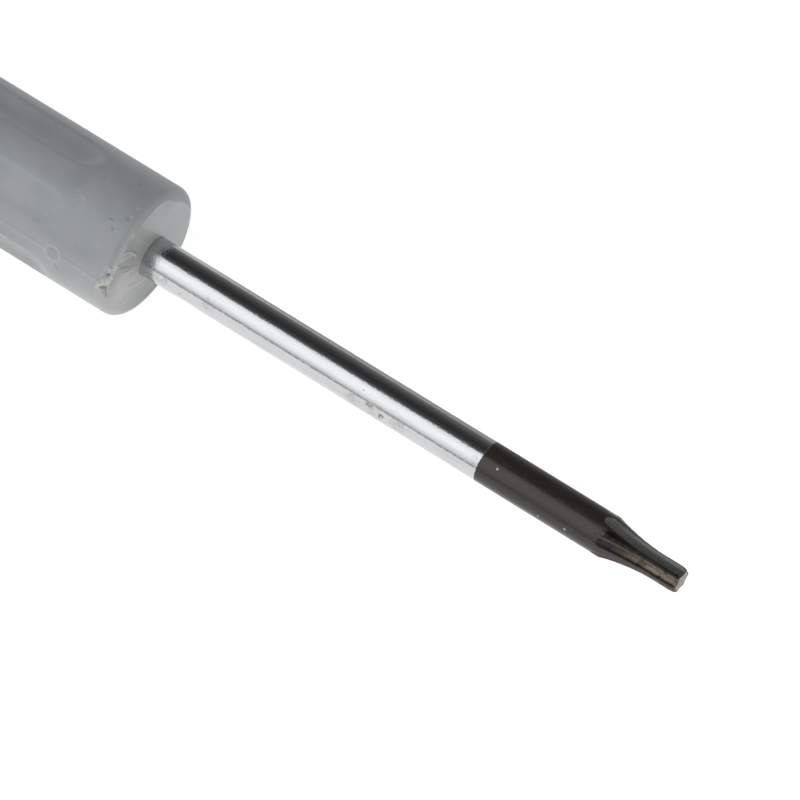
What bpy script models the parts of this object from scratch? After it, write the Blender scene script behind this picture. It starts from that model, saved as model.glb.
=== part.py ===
"""Precision six-lobe screwdriver at real size, in metres, lying on its side with +Z up.

The tool's axis runs along X with the tip towards +X. Every piece hangs from one empty on that axis.
In the empty's own frame Z points to the tip, X points down and Z = 0 is the front face of the handle.
"""

import math

import bmesh
import bpy

MM = 0.001

# Fits between neighbouring pieces
SEAT_GAP = 0.1 * MM  # pieces that are moulded on, pressed in or seated
TURN_GAP = 0.3 * MM  # faces that turn past each other
PLAY = 0.06 * MM  # radial play of a turning bore and of a ball in its groove

# Blade: round shank, six-lobe tip of size 10, winged tang
SHANK_DIAMETER = 4.5 * MM
BLADE_EXPOSED = 65.0 * MM
TANG_LENGTH = 46.0 * MM
TANG_CHAMFER = 0.5 * MM
TIP_ACROSS_LOBES = 2.76 * MM
TIP_ACROSS_FLUTES = 1.98 * MM
TIP_FLUTE_RADIUS = 0.6 * MM
TIP_LOBE_ROUNDING = 0.22 * MM
TIP_STRAIGHT = 4.9 * MM  # end face to where the cone's line meets the straight tip
TIP_CONE = 4.2 * MM
TIP_NECK_RADIUS = 16.0 * MM  # hollow blend between straight tip and cone
TIP_FLUTE_RUNOUT = 1.1 * MM  # flute length past the cone, on the round shank
TIP_CHAMFER = 0.16 * MM
TIP_TURN = math.radians(15.0)  # a lobe's angle from straight down
LOBES = 6
WING_HEIGHT = 1.1 * MM
WING_THICKNESS = 1.7 * MM
WING_LENGTH = 7.0 * MM
WING_FROM_END = 5.0 * MM
WING_BEVEL = 0.3 * MM

# Grip: soft skin on a hard core
HANDLE_DIAMETER = 15.0 * MM
GRIP_LENGTH = 80.0 * MM
GRIP_WALL = 2.4 * MM
GRIP_FRONT_WALL = 2.4 * MM
GRIP_FRONT_FILLET = 1.35 * MM
GRIP_REAR_FILLET = 0.6 * MM
GRIP_FLUTES = 6
GRIP_FLUTE_WIDTH = 4.0 * MM
GRIP_FLUTE_DEPTH = 0.7 * MM
GRIP_FLUTE_FRONT = 8.0 * MM  # front face to the front end of a flute
GRIP_FLUTE_LENGTH = 43.0 * MM
GRIP_LAND_TURN = math.radians(8.0)  # a land's angle from straight down
WAIST_WALL = 0.9 * MM  # skin left at the thinnest point of the waist
WAIST_LENGTH = 22.0 * MM
WAIST_FROM_REAR = 2.6 * MM

# Core: keys for the skin, hexagon against rolling, spigot for the cap
KEY_WIDTH = 1.6 * MM
KEY_HEIGHT = 0.5 * MM
KEY_FRONT = 9.0 * MM
KEY_LENGTH = 40.0 * MM
HEX_LENGTH = 6.0 * MM
HEX_BEVEL = 0.6 * MM
SPIGOT_WALL = 0.7 * MM
SPIGOT_LENGTH = 2.0 * MM
RACE_RECESS = 0.4 * MM

# Cap bearing: two grooved washers, a cage and its balls
RACE_DIAMETER = 8.0 * MM
RACE_THICKNESS = 1.0 * MM
BALL_DIAMETER = 1.6 * MM
BALLS = 6
GROOVE_DEPTH = 0.16 * MM
CAGE_THICKNESS = 0.8 * MM
CAGE_MARGIN = 0.3 * MM  # how far the cage's edges stay inside the races' edges

# Cap screw and its washer
SCREW_SHOULDER_DIAMETER = 2.9 * MM
SCREW_THREAD_DIAMETER = 2.2 * MM
SCREW_THREAD_LENGTH = 9.0 * MM
SCREW_HEAD_DIAMETER = 5.2 * MM
SCREW_HEAD_HEIGHT = 1.6 * MM
SCREW_SLOT_WIDTH = 0.8 * MM
SCREW_SLOT_DEPTH = 0.8 * MM
WASHER_DIAMETER = 5.8 * MM
WASHER_THICKNESS = 0.5 * MM

# Swivel cap
CAP_LIFT = 0.5 * MM  # how far the cap clears the surface that the tool lies on
CAP_GAP = 0.4 * MM  # open joint between the hexagon and the cap
CAP_WEB = 3.0 * MM
CAP_HEAD_ROOM = 0.8 * MM
CAP_EDGE = 1.0 * MM
CAP_RIM = 1.7 * MM
CAP_GROOVES = 12
CAP_GROOVE_RADIUS = 1.2 * MM
CAP_GROOVE_DEPTH = 0.35 * MM
CAP_GROOVE_MARGIN = 2.0 * MM
DISC_THICKNESS = 1.4 * MM
DISC_SINK = 0.2 * MM
DISC_EDGE = 0.25 * MM

# Facets
ROUND_STEPS = 48
SMALL_STEPS = 32
CUTTER_STEPS = 16
ARC_STEPS = 5
WAIST_STEPS = 12
LOBE_STEPS = 10
NECK_STEPS = 4
CONE_STEPS = 4
RUNOUT_STEPS = 4
BALL_RINGS = 8
CUTTER_REACH = 5.0 * MM  # how far a through cutter runs past what it cuts
BEVEL_STEPS = 2
SHARP_ANGLE = math.radians(30.0)
MERGE_DISTANCE = 0.001 * MM

# Radii that follow from the sizes above
SHANK_RADIUS = SHANK_DIAMETER / 2
HANDLE_RADIUS = HANDLE_DIAMETER / 2
CORE_RADIUS = HANDLE_RADIUS - GRIP_WALL - SEAT_GAP
RACE_RADIUS = RACE_DIAMETER / 2
SHOULDER_RADIUS = SCREW_SHOULDER_DIAMETER / 2
THREAD_RADIUS = SCREW_THREAD_DIAMETER / 2
BALL_RADIUS = BALL_DIAMETER / 2
RACE_BORE = SHOULDER_RADIUS + SEAT_GAP
PITCH_RADIUS = (RACE_RADIUS + RACE_BORE) / 2
SPIGOT_RADIUS = RACE_RADIUS + SEAT_GAP + SPIGOT_WALL
CAP_RADIUS = HANDLE_RADIUS - CAP_LIFT
DISC_RADIUS = CAP_RADIUS - CAP_RIM

# Stations along the axis, from the handle's front face back to the cap's end
GRIP_REAR = -GRIP_LENGTH
HEX_FRONT = GRIP_REAR - SEAT_GAP
HEX_REAR = HEX_FRONT - HEX_LENGTH
SPIGOT_REAR = HEX_REAR - SPIGOT_LENGTH
RECESS_FLOOR = SPIGOT_REAR + RACE_RECESS
LOWER_RACE_FRONT = RECESS_FLOOR - SEAT_GAP
LOWER_RACE_REAR = LOWER_RACE_FRONT - RACE_THICKNESS
BALL_STATION = LOWER_RACE_REAR - BALL_RADIUS + GROOVE_DEPTH
UPPER_RACE_FRONT = 2 * BALL_STATION - LOWER_RACE_REAR
UPPER_RACE_REAR = UPPER_RACE_FRONT - RACE_THICKNESS
CAP_SHOULDER = UPPER_RACE_REAR - SEAT_GAP
WEB_REAR = CAP_SHOULDER - CAP_WEB
WASHER_FRONT = WEB_REAR - SEAT_GAP
HEAD_FRONT = WASHER_FRONT - WASHER_THICKNESS - SEAT_GAP
HEAD_REAR = HEAD_FRONT - SCREW_HEAD_HEIGHT
DISC_SEAT = HEAD_REAR - CAP_HEAD_ROOM
DISC_FRONT = DISC_SEAT - SEAT_GAP
DISC_REAR = DISC_FRONT - DISC_THICKNESS
CAP_REAR = DISC_REAR - DISC_SINK
CAP_FRONT = HEX_REAR - CAP_GAP
OVERALL_LENGTH = BLADE_EXPOSED - CAP_REAR


def clear_scene():
    for item in list(bpy.data.objects):
        bpy.data.objects.remove(item, do_unlink=True)
    for group in list(bpy.data.collections):
        bpy.data.collections.remove(group)


def new_collection(name):
    group = bpy.data.collections.new(name)
    bpy.context.scene.collection.children.link(group)
    return group


clear_scene()
TOOL = new_collection("six_lobe_screwdriver")
CUTTERS = new_collection("cutters")


def axis_empty():
    """The tool's axis: the joint axis of the cap and of the ball cage lies on it."""
    empty = bpy.data.objects.new("tool_axis", None)
    empty.location = (OVERALL_LENGTH / 2 - BLADE_EXPOSED, 0.0, HANDLE_RADIUS)
    empty.rotation_euler = (0.0, math.pi / 2, 0.0)
    TOOL.objects.link(empty)
    return empty


AXIS = axis_empty()


def make_material(name, colour, roughness, metallic):
    material = bpy.data.materials.new(name)
    material.use_nodes = True
    shader = material.node_tree.nodes["Principled BSDF"]
    shader.inputs["Base Color"].default_value = (*colour, 1.0)
    shader.inputs["Roughness"].default_value = roughness
    shader.inputs["Metallic"].default_value = metallic
    return material


GRIP_GREY = make_material("grip_grey", (0.34, 0.35, 0.36), 0.5, 0.0)
CORE_GREY = make_material("core_grey", (0.05, 0.053, 0.057), 0.45, 0.0)
CAP_GREY = make_material("cap_grey", (0.06, 0.063, 0.067), 0.45, 0.0)
DISC_GREY = make_material("disc_grey", (0.34, 0.35, 0.36), 0.5, 0.0)
PLATED_STEEL = make_material("plated_steel", (0.6, 0.6, 0.6), 0.15, 1.0)
RACE_STEEL = make_material("race_steel", (0.55, 0.55, 0.56), 0.25, 1.0)
BALL_STEEL = make_material("ball_steel", (0.6, 0.6, 0.61), 0.12, 1.0)
CAGE_BRASS = make_material("cage_brass", (0.6, 0.45, 0.2), 0.35, 1.0)
SCREW_ZINC = make_material("screw_zinc", (0.5, 0.5, 0.5), 0.4, 1.0)
WASHER_ZINC = make_material("washer_zinc", (0.52, 0.52, 0.5), 0.45, 1.0)


def mesh_object(name, mesh, group, material=None):
    """A named object on the tool's axis, as a part in the tool or as a hidden cutter."""
    item = bpy.data.objects.new(name, mesh)
    item.parent = AXIS
    group.objects.link(item)
    if material is not None:
        mesh.materials.append(material)
    if group is CUTTERS:
        item.hide_render = True
        item.display_type = "WIRE"
    return item


def bmesh_object(name, body, group, material=None):
    mesh = bpy.data.meshes.new(name)
    body.to_mesh(mesh)
    body.free()
    mesh.shade_smooth()
    mesh.set_sharp_from_angle(angle=SHARP_ANGLE)
    return mesh_object(name, mesh, group, material)


def turned(name, profile, group, material=None, closed=False, steps=ROUND_STEPS):
    """A profile of (radius, station) points turned about the axis, run down its outer side."""
    count = len(profile)
    edges = [(index, index + 1) for index in range(count - 1)]
    if closed:
        edges.append((count - 1, 0))
    mesh = bpy.data.meshes.new(name)
    mesh.from_pydata([(radius, 0.0, station) for radius, station in profile], edges, [])
    item = mesh_object(name, mesh, group, material)
    screw = item.modifiers.new("turn", "SCREW")
    screw.axis = "Z"
    screw.angle = 2 * math.pi
    screw.steps = steps
    screw.render_steps = steps
    screw.use_merge_vertices = True
    screw.merge_threshold = MERGE_DISTANCE
    return item


def rod(name, radius, top, bottom, group, steps=ROUND_STEPS):
    return turned(name, [(0.0, top), (radius, top), (radius, bottom), (0.0, bottom)], group, steps=steps)


def block(name, size, location, turn, group, bevel=0.0):
    """A box of the given size, turned about the axis with its place."""
    body = bmesh.new()
    bmesh.ops.create_cube(body, size=1.0)
    bmesh.ops.scale(body, vec=size, verts=body.verts)
    item = bmesh_object(name, body, group)
    radius, station = location
    item.location = (radius * math.cos(turn), radius * math.sin(turn), station)
    item.rotation_euler = (0.0, 0.0, turn)
    if bevel > 0.0:
        add_bevel(item, bevel)
    return item


def add_bevel(item, width):
    bevel = item.modifiers.new("edges", "BEVEL")
    bevel.width = width
    bevel.segments = BEVEL_STEPS


def combine(target, tool, operation):
    boolean = target.modifiers.new(tool.name, "BOOLEAN")
    boolean.operation = operation
    boolean.solver = "EXACT"
    boolean.object = tool


def cut(target, tool):
    combine(target, tool, "DIFFERENCE")


def unite(target, tool):
    combine(target, tool, "UNION")


def arc(centre, radius, start, end, steps=ARC_STEPS):
    """Points on an arc, with angles in degrees from the outward direction."""
    points = []
    for index in range(steps + 1):
        angle = math.radians(start + (end - start) * index / steps)
        points.append((centre[0] + radius * math.cos(angle), centre[1] + radius * math.sin(angle)))
    return points


def ring_angles(count, start=0.0):
    return [start + 2 * math.pi * index / count for index in range(count)]


# Blade

CONE_SLOPE = (SHANK_RADIUS - TIP_ACROSS_LOBES / 2) / TIP_CONE
NECK_REACH = TIP_NECK_RADIUS * math.tan(math.atan(CONE_SLOPE) / 2)
CONE_END = TIP_STRAIGHT + TIP_CONE
FLUTE_END = CONE_END + TIP_FLUTE_RUNOUT
FLUTE_DEPTH = (TIP_ACROSS_LOBES - TIP_ACROSS_FLUTES) / 2


def crest_radius(behind_end):
    """Radius over the lobes at a distance behind the end face: straight, hollow neck, cone, shank."""
    into_neck = behind_end - (TIP_STRAIGHT - NECK_REACH)
    if into_neck <= 0.0:
        return TIP_ACROSS_LOBES / 2
    arc_length = TIP_NECK_RADIUS * math.sin(math.atan(CONE_SLOPE))
    if into_neck < arc_length:
        return TIP_ACROSS_LOBES / 2 + TIP_NECK_RADIUS - math.sqrt(TIP_NECK_RADIUS**2 - into_neck**2)
    cone = TIP_ACROSS_LOBES / 2 + (behind_end - TIP_STRAIGHT) * CONE_SLOPE
    return min(cone, SHANK_RADIUS)


def flute_depth(behind_end):
    """Depth of a flute under the crest: even along the tip, then a round run-out on the shank."""
    if behind_end <= CONE_END:
        return FLUTE_DEPTH
    share = (behind_end - CONE_END) / TIP_FLUTE_RUNOUT
    return FLUTE_DEPTH * math.sqrt(max(0.0, 1.0 - share * share))


def lobed_radius(angle, crest, depth):
    """Radius of a round bar with hollow flutes, whose edges are rounded by a smooth minimum."""
    pitch = 2 * math.pi / LOBES
    off_flute = (angle + pitch / 2) % pitch - pitch / 2
    centre = crest - depth + TIP_FLUTE_RADIUS
    chord = TIP_FLUTE_RADIUS**2 - (centre * math.sin(off_flute)) ** 2
    if chord <= 0.0 or depth <= 0.0:
        return crest
    hollow = centre * math.cos(off_flute) - math.sqrt(chord)
    overlap = max(TIP_LOBE_ROUNDING - abs(crest - hollow), 0.0) / TIP_LOBE_ROUNDING
    rounding = min(1.0, depth / FLUTE_DEPTH)
    return min(crest, hollow) - overlap * overlap * TIP_LOBE_ROUNDING / 4 * rounding


def tip_sections():
    """Distances behind the end face where the blade's section changes."""
    distances = [TIP_CHAMFER]
    neck_start = TIP_STRAIGHT - NECK_REACH
    neck_end = TIP_STRAIGHT + NECK_REACH
    distances += [neck_start + (neck_end - neck_start) * i / NECK_STEPS for i in range(NECK_STEPS)]
    distances += [neck_end + (CONE_END - neck_end) * i / CONE_STEPS for i in range(CONE_STEPS)]
    for index in range(RUNOUT_STEPS + 1):
        distances.append(CONE_END + TIP_FLUTE_RUNOUT * math.sin(math.pi / 2 * index / RUNOUT_STEPS))
    return distances


def blade_rings():
    """Rings of points from the end face back to the end of the tang."""
    count = LOBES * LOBE_STEPS
    flute_turn = TIP_TURN + math.pi / LOBES
    rings = []

    def add_ring(station, crest, depth):
        ring = []
        for angle in ring_angles(count, TIP_TURN):
            radius = lobed_radius(angle - flute_turn, crest, depth)
            ring.append((radius * math.cos(angle), radius * math.sin(angle), station))
        rings.append(ring)

    add_ring(BLADE_EXPOSED, TIP_ACROSS_LOBES / 2 - TIP_CHAMFER, FLUTE_DEPTH - TIP_CHAMFER / 2)
    for behind_end in tip_sections():
        add_ring(BLADE_EXPOSED - behind_end, crest_radius(behind_end), flute_depth(behind_end))
    add_ring(TANG_CHAMFER - TANG_LENGTH, SHANK_RADIUS, 0.0)
    add_ring(-TANG_LENGTH, SHANK_RADIUS - TANG_CHAMFER, 0.0)
    return rings


def lofted(name, rings, group, material):
    """A closed skin over rings of points that lie one behind the other."""
    body = bmesh.new()
    loops = [[body.verts.new(point) for point in ring] for ring in rings]
    for near, far in zip(loops, loops[1:]):
        for index in range(len(near)):
            after = (index + 1) % len(near)
            body.faces.new((near[index], far[index], far[after], near[after]))
    body.faces.new(loops[0])
    body.faces.new(list(reversed(loops[-1])))
    return bmesh_object(name, body, group, material)


def wing_block(name, clearance):
    """The tang's pair of coined wings, or the slot that they leave in the core."""
    span = 2 * (SHANK_RADIUS + WING_HEIGHT + clearance)
    size = (span, WING_THICKNESS + 2 * clearance, WING_LENGTH + 2 * clearance)
    station = WING_FROM_END + WING_LENGTH / 2 - TANG_LENGTH
    return block(name, size, (0.0, station), 0.0, CUTTERS, 0.0 if clearance else WING_BEVEL)


def make_blade():
    blade = lofted("blade", blade_rings(), TOOL, PLATED_STEEL)
    unite(blade, wing_block("blade_wings", 0.0))


# Handle

def make_core():
    profile = [
        (0.0, -GRIP_FRONT_WALL - SEAT_GAP),
        (CORE_RADIUS, -GRIP_FRONT_WALL - SEAT_GAP),
        (CORE_RADIUS, (HEX_FRONT + HEX_REAR) / 2),
        (SPIGOT_RADIUS, (HEX_FRONT + HEX_REAR) / 2),
        (SPIGOT_RADIUS, SPIGOT_REAR),
        (0.0, SPIGOT_REAR),
    ]
    core = turned("handle_core", profile, TOOL, CORE_GREY)
    unite(core, hexagon())
    for index, turn in enumerate(ring_angles(GRIP_FLUTES, GRIP_LAND_TURN)):
        unite(core, key_block(f"core_key_{index + 1}", turn, 0.0))
    tang_end = -TANG_LENGTH - SEAT_GAP
    cut(core, rod("tang_bore", SHANK_RADIUS + SEAT_GAP, CUTTER_REACH, tang_end, CUTTERS))
    cut(core, wing_block("wing_slot", SEAT_GAP))
    recess = rod("race_recess", RACE_RADIUS + SEAT_GAP, RECESS_FLOOR, SPIGOT_REAR - CUTTER_REACH, CUTTERS)
    cut(core, recess)
    thread_end = RECESS_FLOOR + SCREW_THREAD_LENGTH
    cut(core, rod("screw_hole", THREAD_RADIUS + SEAT_GAP, thread_end, SPIGOT_REAR, CUTTERS, SMALL_STEPS))


def hexagon():
    """The anti-roll hexagon, with one flat straight down and as deep as the grip is round."""
    body = bmesh.new()
    corner = HANDLE_RADIUS / math.cos(math.pi / 6)
    bmesh.ops.create_cone(body, cap_ends=True, segments=6, radius1=corner, radius2=corner, depth=HEX_LENGTH)
    item = bmesh_object("anti_roll_hexagon", body, CUTTERS)
    item.location = (0.0, 0.0, (HEX_FRONT + HEX_REAR) / 2)
    add_bevel(item, HEX_BEVEL)
    return item


def key_block(name, turn, clearance):
    """A key along the core under a land of the grip, or the slot for it in the skin."""
    root = CORE_RADIUS - KEY_HEIGHT
    top = CORE_RADIUS + KEY_HEIGHT + clearance
    size = (top - root, KEY_WIDTH + 2 * clearance, KEY_LENGTH + 2 * clearance)
    return block(name, size, ((top + root) / 2, -KEY_FRONT - KEY_LENGTH / 2), turn, CUTTERS)


def waist_points():
    """The grip's smooth waist, from its front end to its rear end."""
    rear = GRIP_REAR + WAIST_FROM_REAR
    front = rear + WAIST_LENGTH
    depth = GRIP_WALL - WAIST_WALL
    points = []
    for index in range(WAIST_STEPS + 1):
        share = index / WAIST_STEPS
        dip = depth * (1.0 - math.cos(2 * math.pi * share)) / 2
        points.append((HANDLE_RADIUS - dip, front + (rear - front) * share))
    return points


def flute_cutter(name, turn):
    """A long round-ended rod that leaves a flute of the stated width and depth."""
    half_width = GRIP_FLUTE_WIDTH / 2
    bulge = HANDLE_RADIUS - math.sqrt(HANDLE_RADIUS**2 - half_width**2)
    below_chord = GRIP_FLUTE_DEPTH - bulge
    radius = (below_chord**2 + half_width**2) / (2 * below_chord)
    end_reach = math.sqrt(radius**2 - (radius - GRIP_FLUTE_DEPTH) ** 2)
    half_straight = GRIP_FLUTE_LENGTH / 2 - end_reach
    profile = arc((0.0, half_straight), radius, 90.0, 0.0) + arc((0.0, -half_straight), radius, 0.0, -90.0)
    item = turned(name, profile, CUTTERS, steps=SMALL_STEPS)
    centre = HANDLE_RADIUS - GRIP_FLUTE_DEPTH + radius
    middle = -GRIP_FLUTE_FRONT - GRIP_FLUTE_LENGTH / 2
    item.location = (centre * math.cos(turn), centre * math.sin(turn), middle)
    return item


def make_grip():
    hole = SHANK_RADIUS + SEAT_GAP
    bore = CORE_RADIUS + SEAT_GAP
    front_round = arc((HANDLE_RADIUS - GRIP_FRONT_FILLET, -GRIP_FRONT_FILLET), GRIP_FRONT_FILLET, 90.0, 0.0)
    rear_centre = (HANDLE_RADIUS - GRIP_REAR_FILLET, GRIP_REAR + GRIP_REAR_FILLET)
    rear_round = arc(rear_centre, GRIP_REAR_FILLET, 0.0, -90.0)
    inside = [(bore, GRIP_REAR), (bore, -GRIP_FRONT_WALL), (hole, -GRIP_FRONT_WALL), (hole, 0.0)]
    profile = front_round + waist_points() + rear_round + inside
    grip = turned("grip_sleeve", profile, TOOL, GRIP_GREY, closed=True)
    for index, land in enumerate(ring_angles(GRIP_FLUTES, GRIP_LAND_TURN)):
        cut(grip, key_block(f"key_slot_{index + 1}", land, SEAT_GAP))
        cut(grip, flute_cutter(f"grip_flute_{index + 1}", land + math.pi / GRIP_FLUTES))


# Cap bearing

def race_groove(face, towards_race):
    """The ball groove in a race's face, from its inner edge to its outer edge."""
    radius = BALL_RADIUS + PLAY
    rise = abs(face - BALL_STATION)
    edge = math.degrees(math.asin(rise / radius))
    centre = (PITCH_RADIUS, BALL_STATION)
    return arc(centre, radius, towards_race * (180.0 - edge), towards_race * edge)


def make_races():
    lower = race_groove(LOWER_RACE_REAR, 1.0)
    lower_body = [
        (RACE_RADIUS, LOWER_RACE_FRONT),
        (RACE_RADIUS, LOWER_RACE_REAR),
        *reversed(lower),
        (RACE_BORE, LOWER_RACE_REAR),
        (RACE_BORE, LOWER_RACE_FRONT),
    ]
    turned("lower_race", lower_body, TOOL, RACE_STEEL, closed=True, steps=SMALL_STEPS)
    upper = race_groove(UPPER_RACE_FRONT, -1.0)
    upper_bore = SHOULDER_RADIUS + TURN_GAP
    upper_body = [
        (upper_bore, UPPER_RACE_REAR),
        (upper_bore, UPPER_RACE_FRONT),
        *upper,
        (RACE_RADIUS, UPPER_RACE_FRONT),
        (RACE_RADIUS, UPPER_RACE_REAR),
    ]
    turned("upper_race", upper_body, TOOL, RACE_STEEL, closed=True, steps=SMALL_STEPS)


def make_balls_and_cage():
    outer = RACE_RADIUS - CAGE_MARGIN
    inner = RACE_BORE + CAGE_MARGIN
    top = BALL_STATION + CAGE_THICKNESS / 2
    bottom = BALL_STATION - CAGE_THICKNESS / 2
    ring = [(outer, top), (outer, bottom), (inner, bottom), (inner, top)]
    cage = turned("ball_cage", ring, TOOL, CAGE_BRASS, closed=True, steps=SMALL_STEPS)
    for index, turn in enumerate(ring_angles(BALLS)):
        place = (PITCH_RADIUS * math.cos(turn), PITCH_RADIUS * math.sin(turn))
        name = f"ball_pocket_{index + 1}"
        pocket = rod(name, BALL_RADIUS + PLAY, CAGE_THICKNESS, -CAGE_THICKNESS, CUTTERS, CUTTER_STEPS)
        pocket.location = (*place, BALL_STATION)
        cut(cage, pocket)
        body = bmesh.new()
        bmesh.ops.create_uvsphere(body, u_segments=2 * BALL_RINGS, v_segments=BALL_RINGS, radius=BALL_RADIUS)
        ball = bmesh_object(f"ball_{index + 1}", body, TOOL, BALL_STEEL)
        ball.location = (*place, BALL_STATION)


# Swivel cap and what holds it

def make_screw():
    head_radius = SCREW_HEAD_DIAMETER / 2
    shoulder_end = RECESS_FLOOR - SEAT_GAP
    thread_end = RECESS_FLOOR + SCREW_THREAD_LENGTH - SEAT_GAP
    profile = [
        (0.0, thread_end),
        (THREAD_RADIUS, thread_end),
        (THREAD_RADIUS, shoulder_end),
        (SHOULDER_RADIUS, shoulder_end),
        (SHOULDER_RADIUS, HEAD_FRONT),
        (head_radius, HEAD_FRONT),
        (head_radius, HEAD_REAR),
        (0.0, HEAD_REAR),
    ]
    screw = turned("cap_screw", profile, TOOL, SCREW_ZINC, steps=SMALL_STEPS)
    slot_size = (2 * SCREW_HEAD_DIAMETER, SCREW_SLOT_WIDTH, 2 * SCREW_SLOT_DEPTH)
    cut(screw, block("screw_slot", slot_size, (0.0, HEAD_REAR), 0.0, CUTTERS))
    washer_rear = WASHER_FRONT - WASHER_THICKNESS
    bore = SHOULDER_RADIUS + SEAT_GAP
    outer = WASHER_DIAMETER / 2
    ring = [(outer, WASHER_FRONT), (outer, washer_rear), (bore, washer_rear), (bore, WASHER_FRONT)]
    turned("head_washer", ring, TOOL, WASHER_ZINC, closed=True, steps=SMALL_STEPS)


def make_cap():
    skirt = SPIGOT_RADIUS + TURN_GAP
    skirt_floor = SPIGOT_REAR - TURN_GAP
    race_seat = RACE_RADIUS + SEAT_GAP
    screw_bore = SHOULDER_RADIUS + PLAY
    counterbore = max(WASHER_DIAMETER, SCREW_HEAD_DIAMETER) / 2 + TURN_GAP
    disc_seat = DISC_RADIUS + SEAT_GAP
    rear_round = arc((CAP_RADIUS - CAP_EDGE, CAP_REAR + CAP_EDGE), CAP_EDGE, 0.0, -90.0)
    inside = [
        (disc_seat, CAP_REAR),
        (disc_seat, DISC_SEAT),
        (counterbore, DISC_SEAT),
        (counterbore, WEB_REAR),
        (screw_bore, WEB_REAR),
        (screw_bore, CAP_SHOULDER),
        (race_seat, CAP_SHOULDER),
        (race_seat, skirt_floor),
        (skirt, skirt_floor),
        (skirt, CAP_FRONT),
    ]
    cap = turned("swivel_cap", [(CAP_RADIUS, CAP_FRONT), *rear_round, *inside], TOOL, CAP_GREY, closed=True)
    groove_top = CAP_FRONT - CAP_GROOVE_MARGIN
    for index, turn in enumerate(ring_angles(CAP_GROOVES, math.pi / CAP_GROOVES)):
        name = f"cap_groove_{index + 1}"
        groove = rod(name, CAP_GROOVE_RADIUS, groove_top, CAP_REAR - CUTTER_REACH, CUTTERS, CUTTER_STEPS)
        centre = CAP_RADIUS - CAP_GROOVE_DEPTH + CAP_GROOVE_RADIUS
        groove.location = (centre * math.cos(turn), centre * math.sin(turn), 0.0)
        cut(cap, groove)


def make_disc():
    inner = DISC_RADIUS - DISC_EDGE
    profile = [
        (0.0, DISC_FRONT),
        (DISC_RADIUS, DISC_FRONT),
        (DISC_RADIUS, DISC_REAR + DISC_EDGE),
        (inner, DISC_REAR),
        (0.0, DISC_REAR),
    ]
    turned("cap_disc", profile, TOOL, DISC_GREY)


make_blade()
make_core()
make_grip()
make_races()
make_balls_and_cage()
make_screw()
make_cap()
make_disc()
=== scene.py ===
import math

import bmesh
import bpy
import numpy as np
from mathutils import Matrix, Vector, noise


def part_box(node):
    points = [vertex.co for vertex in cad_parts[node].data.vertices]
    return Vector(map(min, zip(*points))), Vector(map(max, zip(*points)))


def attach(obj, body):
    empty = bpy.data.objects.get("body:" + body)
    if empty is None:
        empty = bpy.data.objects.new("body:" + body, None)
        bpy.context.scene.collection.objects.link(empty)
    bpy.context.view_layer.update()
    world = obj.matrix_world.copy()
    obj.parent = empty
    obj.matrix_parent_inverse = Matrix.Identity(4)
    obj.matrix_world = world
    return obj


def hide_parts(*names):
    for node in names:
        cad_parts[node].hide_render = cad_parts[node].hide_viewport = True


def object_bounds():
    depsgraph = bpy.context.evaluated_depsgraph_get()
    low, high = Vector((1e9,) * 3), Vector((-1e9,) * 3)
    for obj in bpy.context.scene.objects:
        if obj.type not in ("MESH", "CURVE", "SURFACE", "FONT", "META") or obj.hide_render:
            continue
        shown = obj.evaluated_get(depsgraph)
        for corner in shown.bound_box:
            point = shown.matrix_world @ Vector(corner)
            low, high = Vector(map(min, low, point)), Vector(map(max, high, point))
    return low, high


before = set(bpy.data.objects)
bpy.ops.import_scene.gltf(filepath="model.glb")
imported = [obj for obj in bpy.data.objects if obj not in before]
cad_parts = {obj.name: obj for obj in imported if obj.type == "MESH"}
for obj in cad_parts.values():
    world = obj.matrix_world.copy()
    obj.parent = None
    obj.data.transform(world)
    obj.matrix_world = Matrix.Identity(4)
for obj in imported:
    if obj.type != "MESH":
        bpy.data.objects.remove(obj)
cadLow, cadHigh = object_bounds()
print("frame loaded:", sorted(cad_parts))

mm = 0.001
gripLow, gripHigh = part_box("grip_sleeve")
bladeLow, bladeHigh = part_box("blade")
coreLow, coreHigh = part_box("handle_core")
capLow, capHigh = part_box("swivel_cap")
discLow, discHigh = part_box("cap_disc")
axisZ = (gripLow.z + gripHigh.z) / 2
faceX = gripHigh.x  # front face of the handle
tipX = bladeHigh.x


# shape helpers; an angle runs up from the near side, so 0 points to -Y and 90 degrees points up

def around(x, radius, angle):
    x, radius, angle = np.broadcast_arrays(x, radius, angle)
    return np.stack([x, -radius * np.cos(angle), axisZ + radius * np.sin(angle)], axis=-1)


def ripple(points, size, seed):
    # smooth noise from -1 to 1 with lumps of the given size
    shift = Vector((7.31 * seed, 3.17 * seed, 5.53 * seed))
    values = [noise.noise(Vector(point) + shift) for point in (points.reshape(-1, 3) / size).tolist()]
    return np.array(values).reshape(points.shape[:-1])


def bell(distance, width):
    return np.exp(-((distance / width) ** 2))


def easeStep(value, low, high):
    share = np.clip((value - low) / (high - low), 0.0, 1.0)
    return share * share * (3.0 - 2.0 * share)


def softMin(first, second, rounding):
    overlap = np.clip(rounding - np.abs(first - second), 0.0, None) / rounding
    return np.minimum(first, second) - overlap * overlap * rounding / 4


def offNearest(angle, count, start):
    # signed angle to the nearest of a number of evenly spread directions
    pitch = 2 * math.pi / count
    return (angle - start + pitch / 2) % pitch - pitch / 2


def allRound(count, start=0.0):
    # evenly spread angles of a full turn
    return start + np.arange(count) * 2 * math.pi / count


def grooveFloor(off, centre, cutter, past, clear):
    # radius at the floor of a groove with a round cutter; clear is the radius where the cutter misses
    chord = cutter**2 - past**2 - (centre * np.sin(off)) ** 2
    return np.where(chord > 0.0, centre * np.cos(off) - np.sqrt(np.clip(chord, 0.0, None)), clear)


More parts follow.
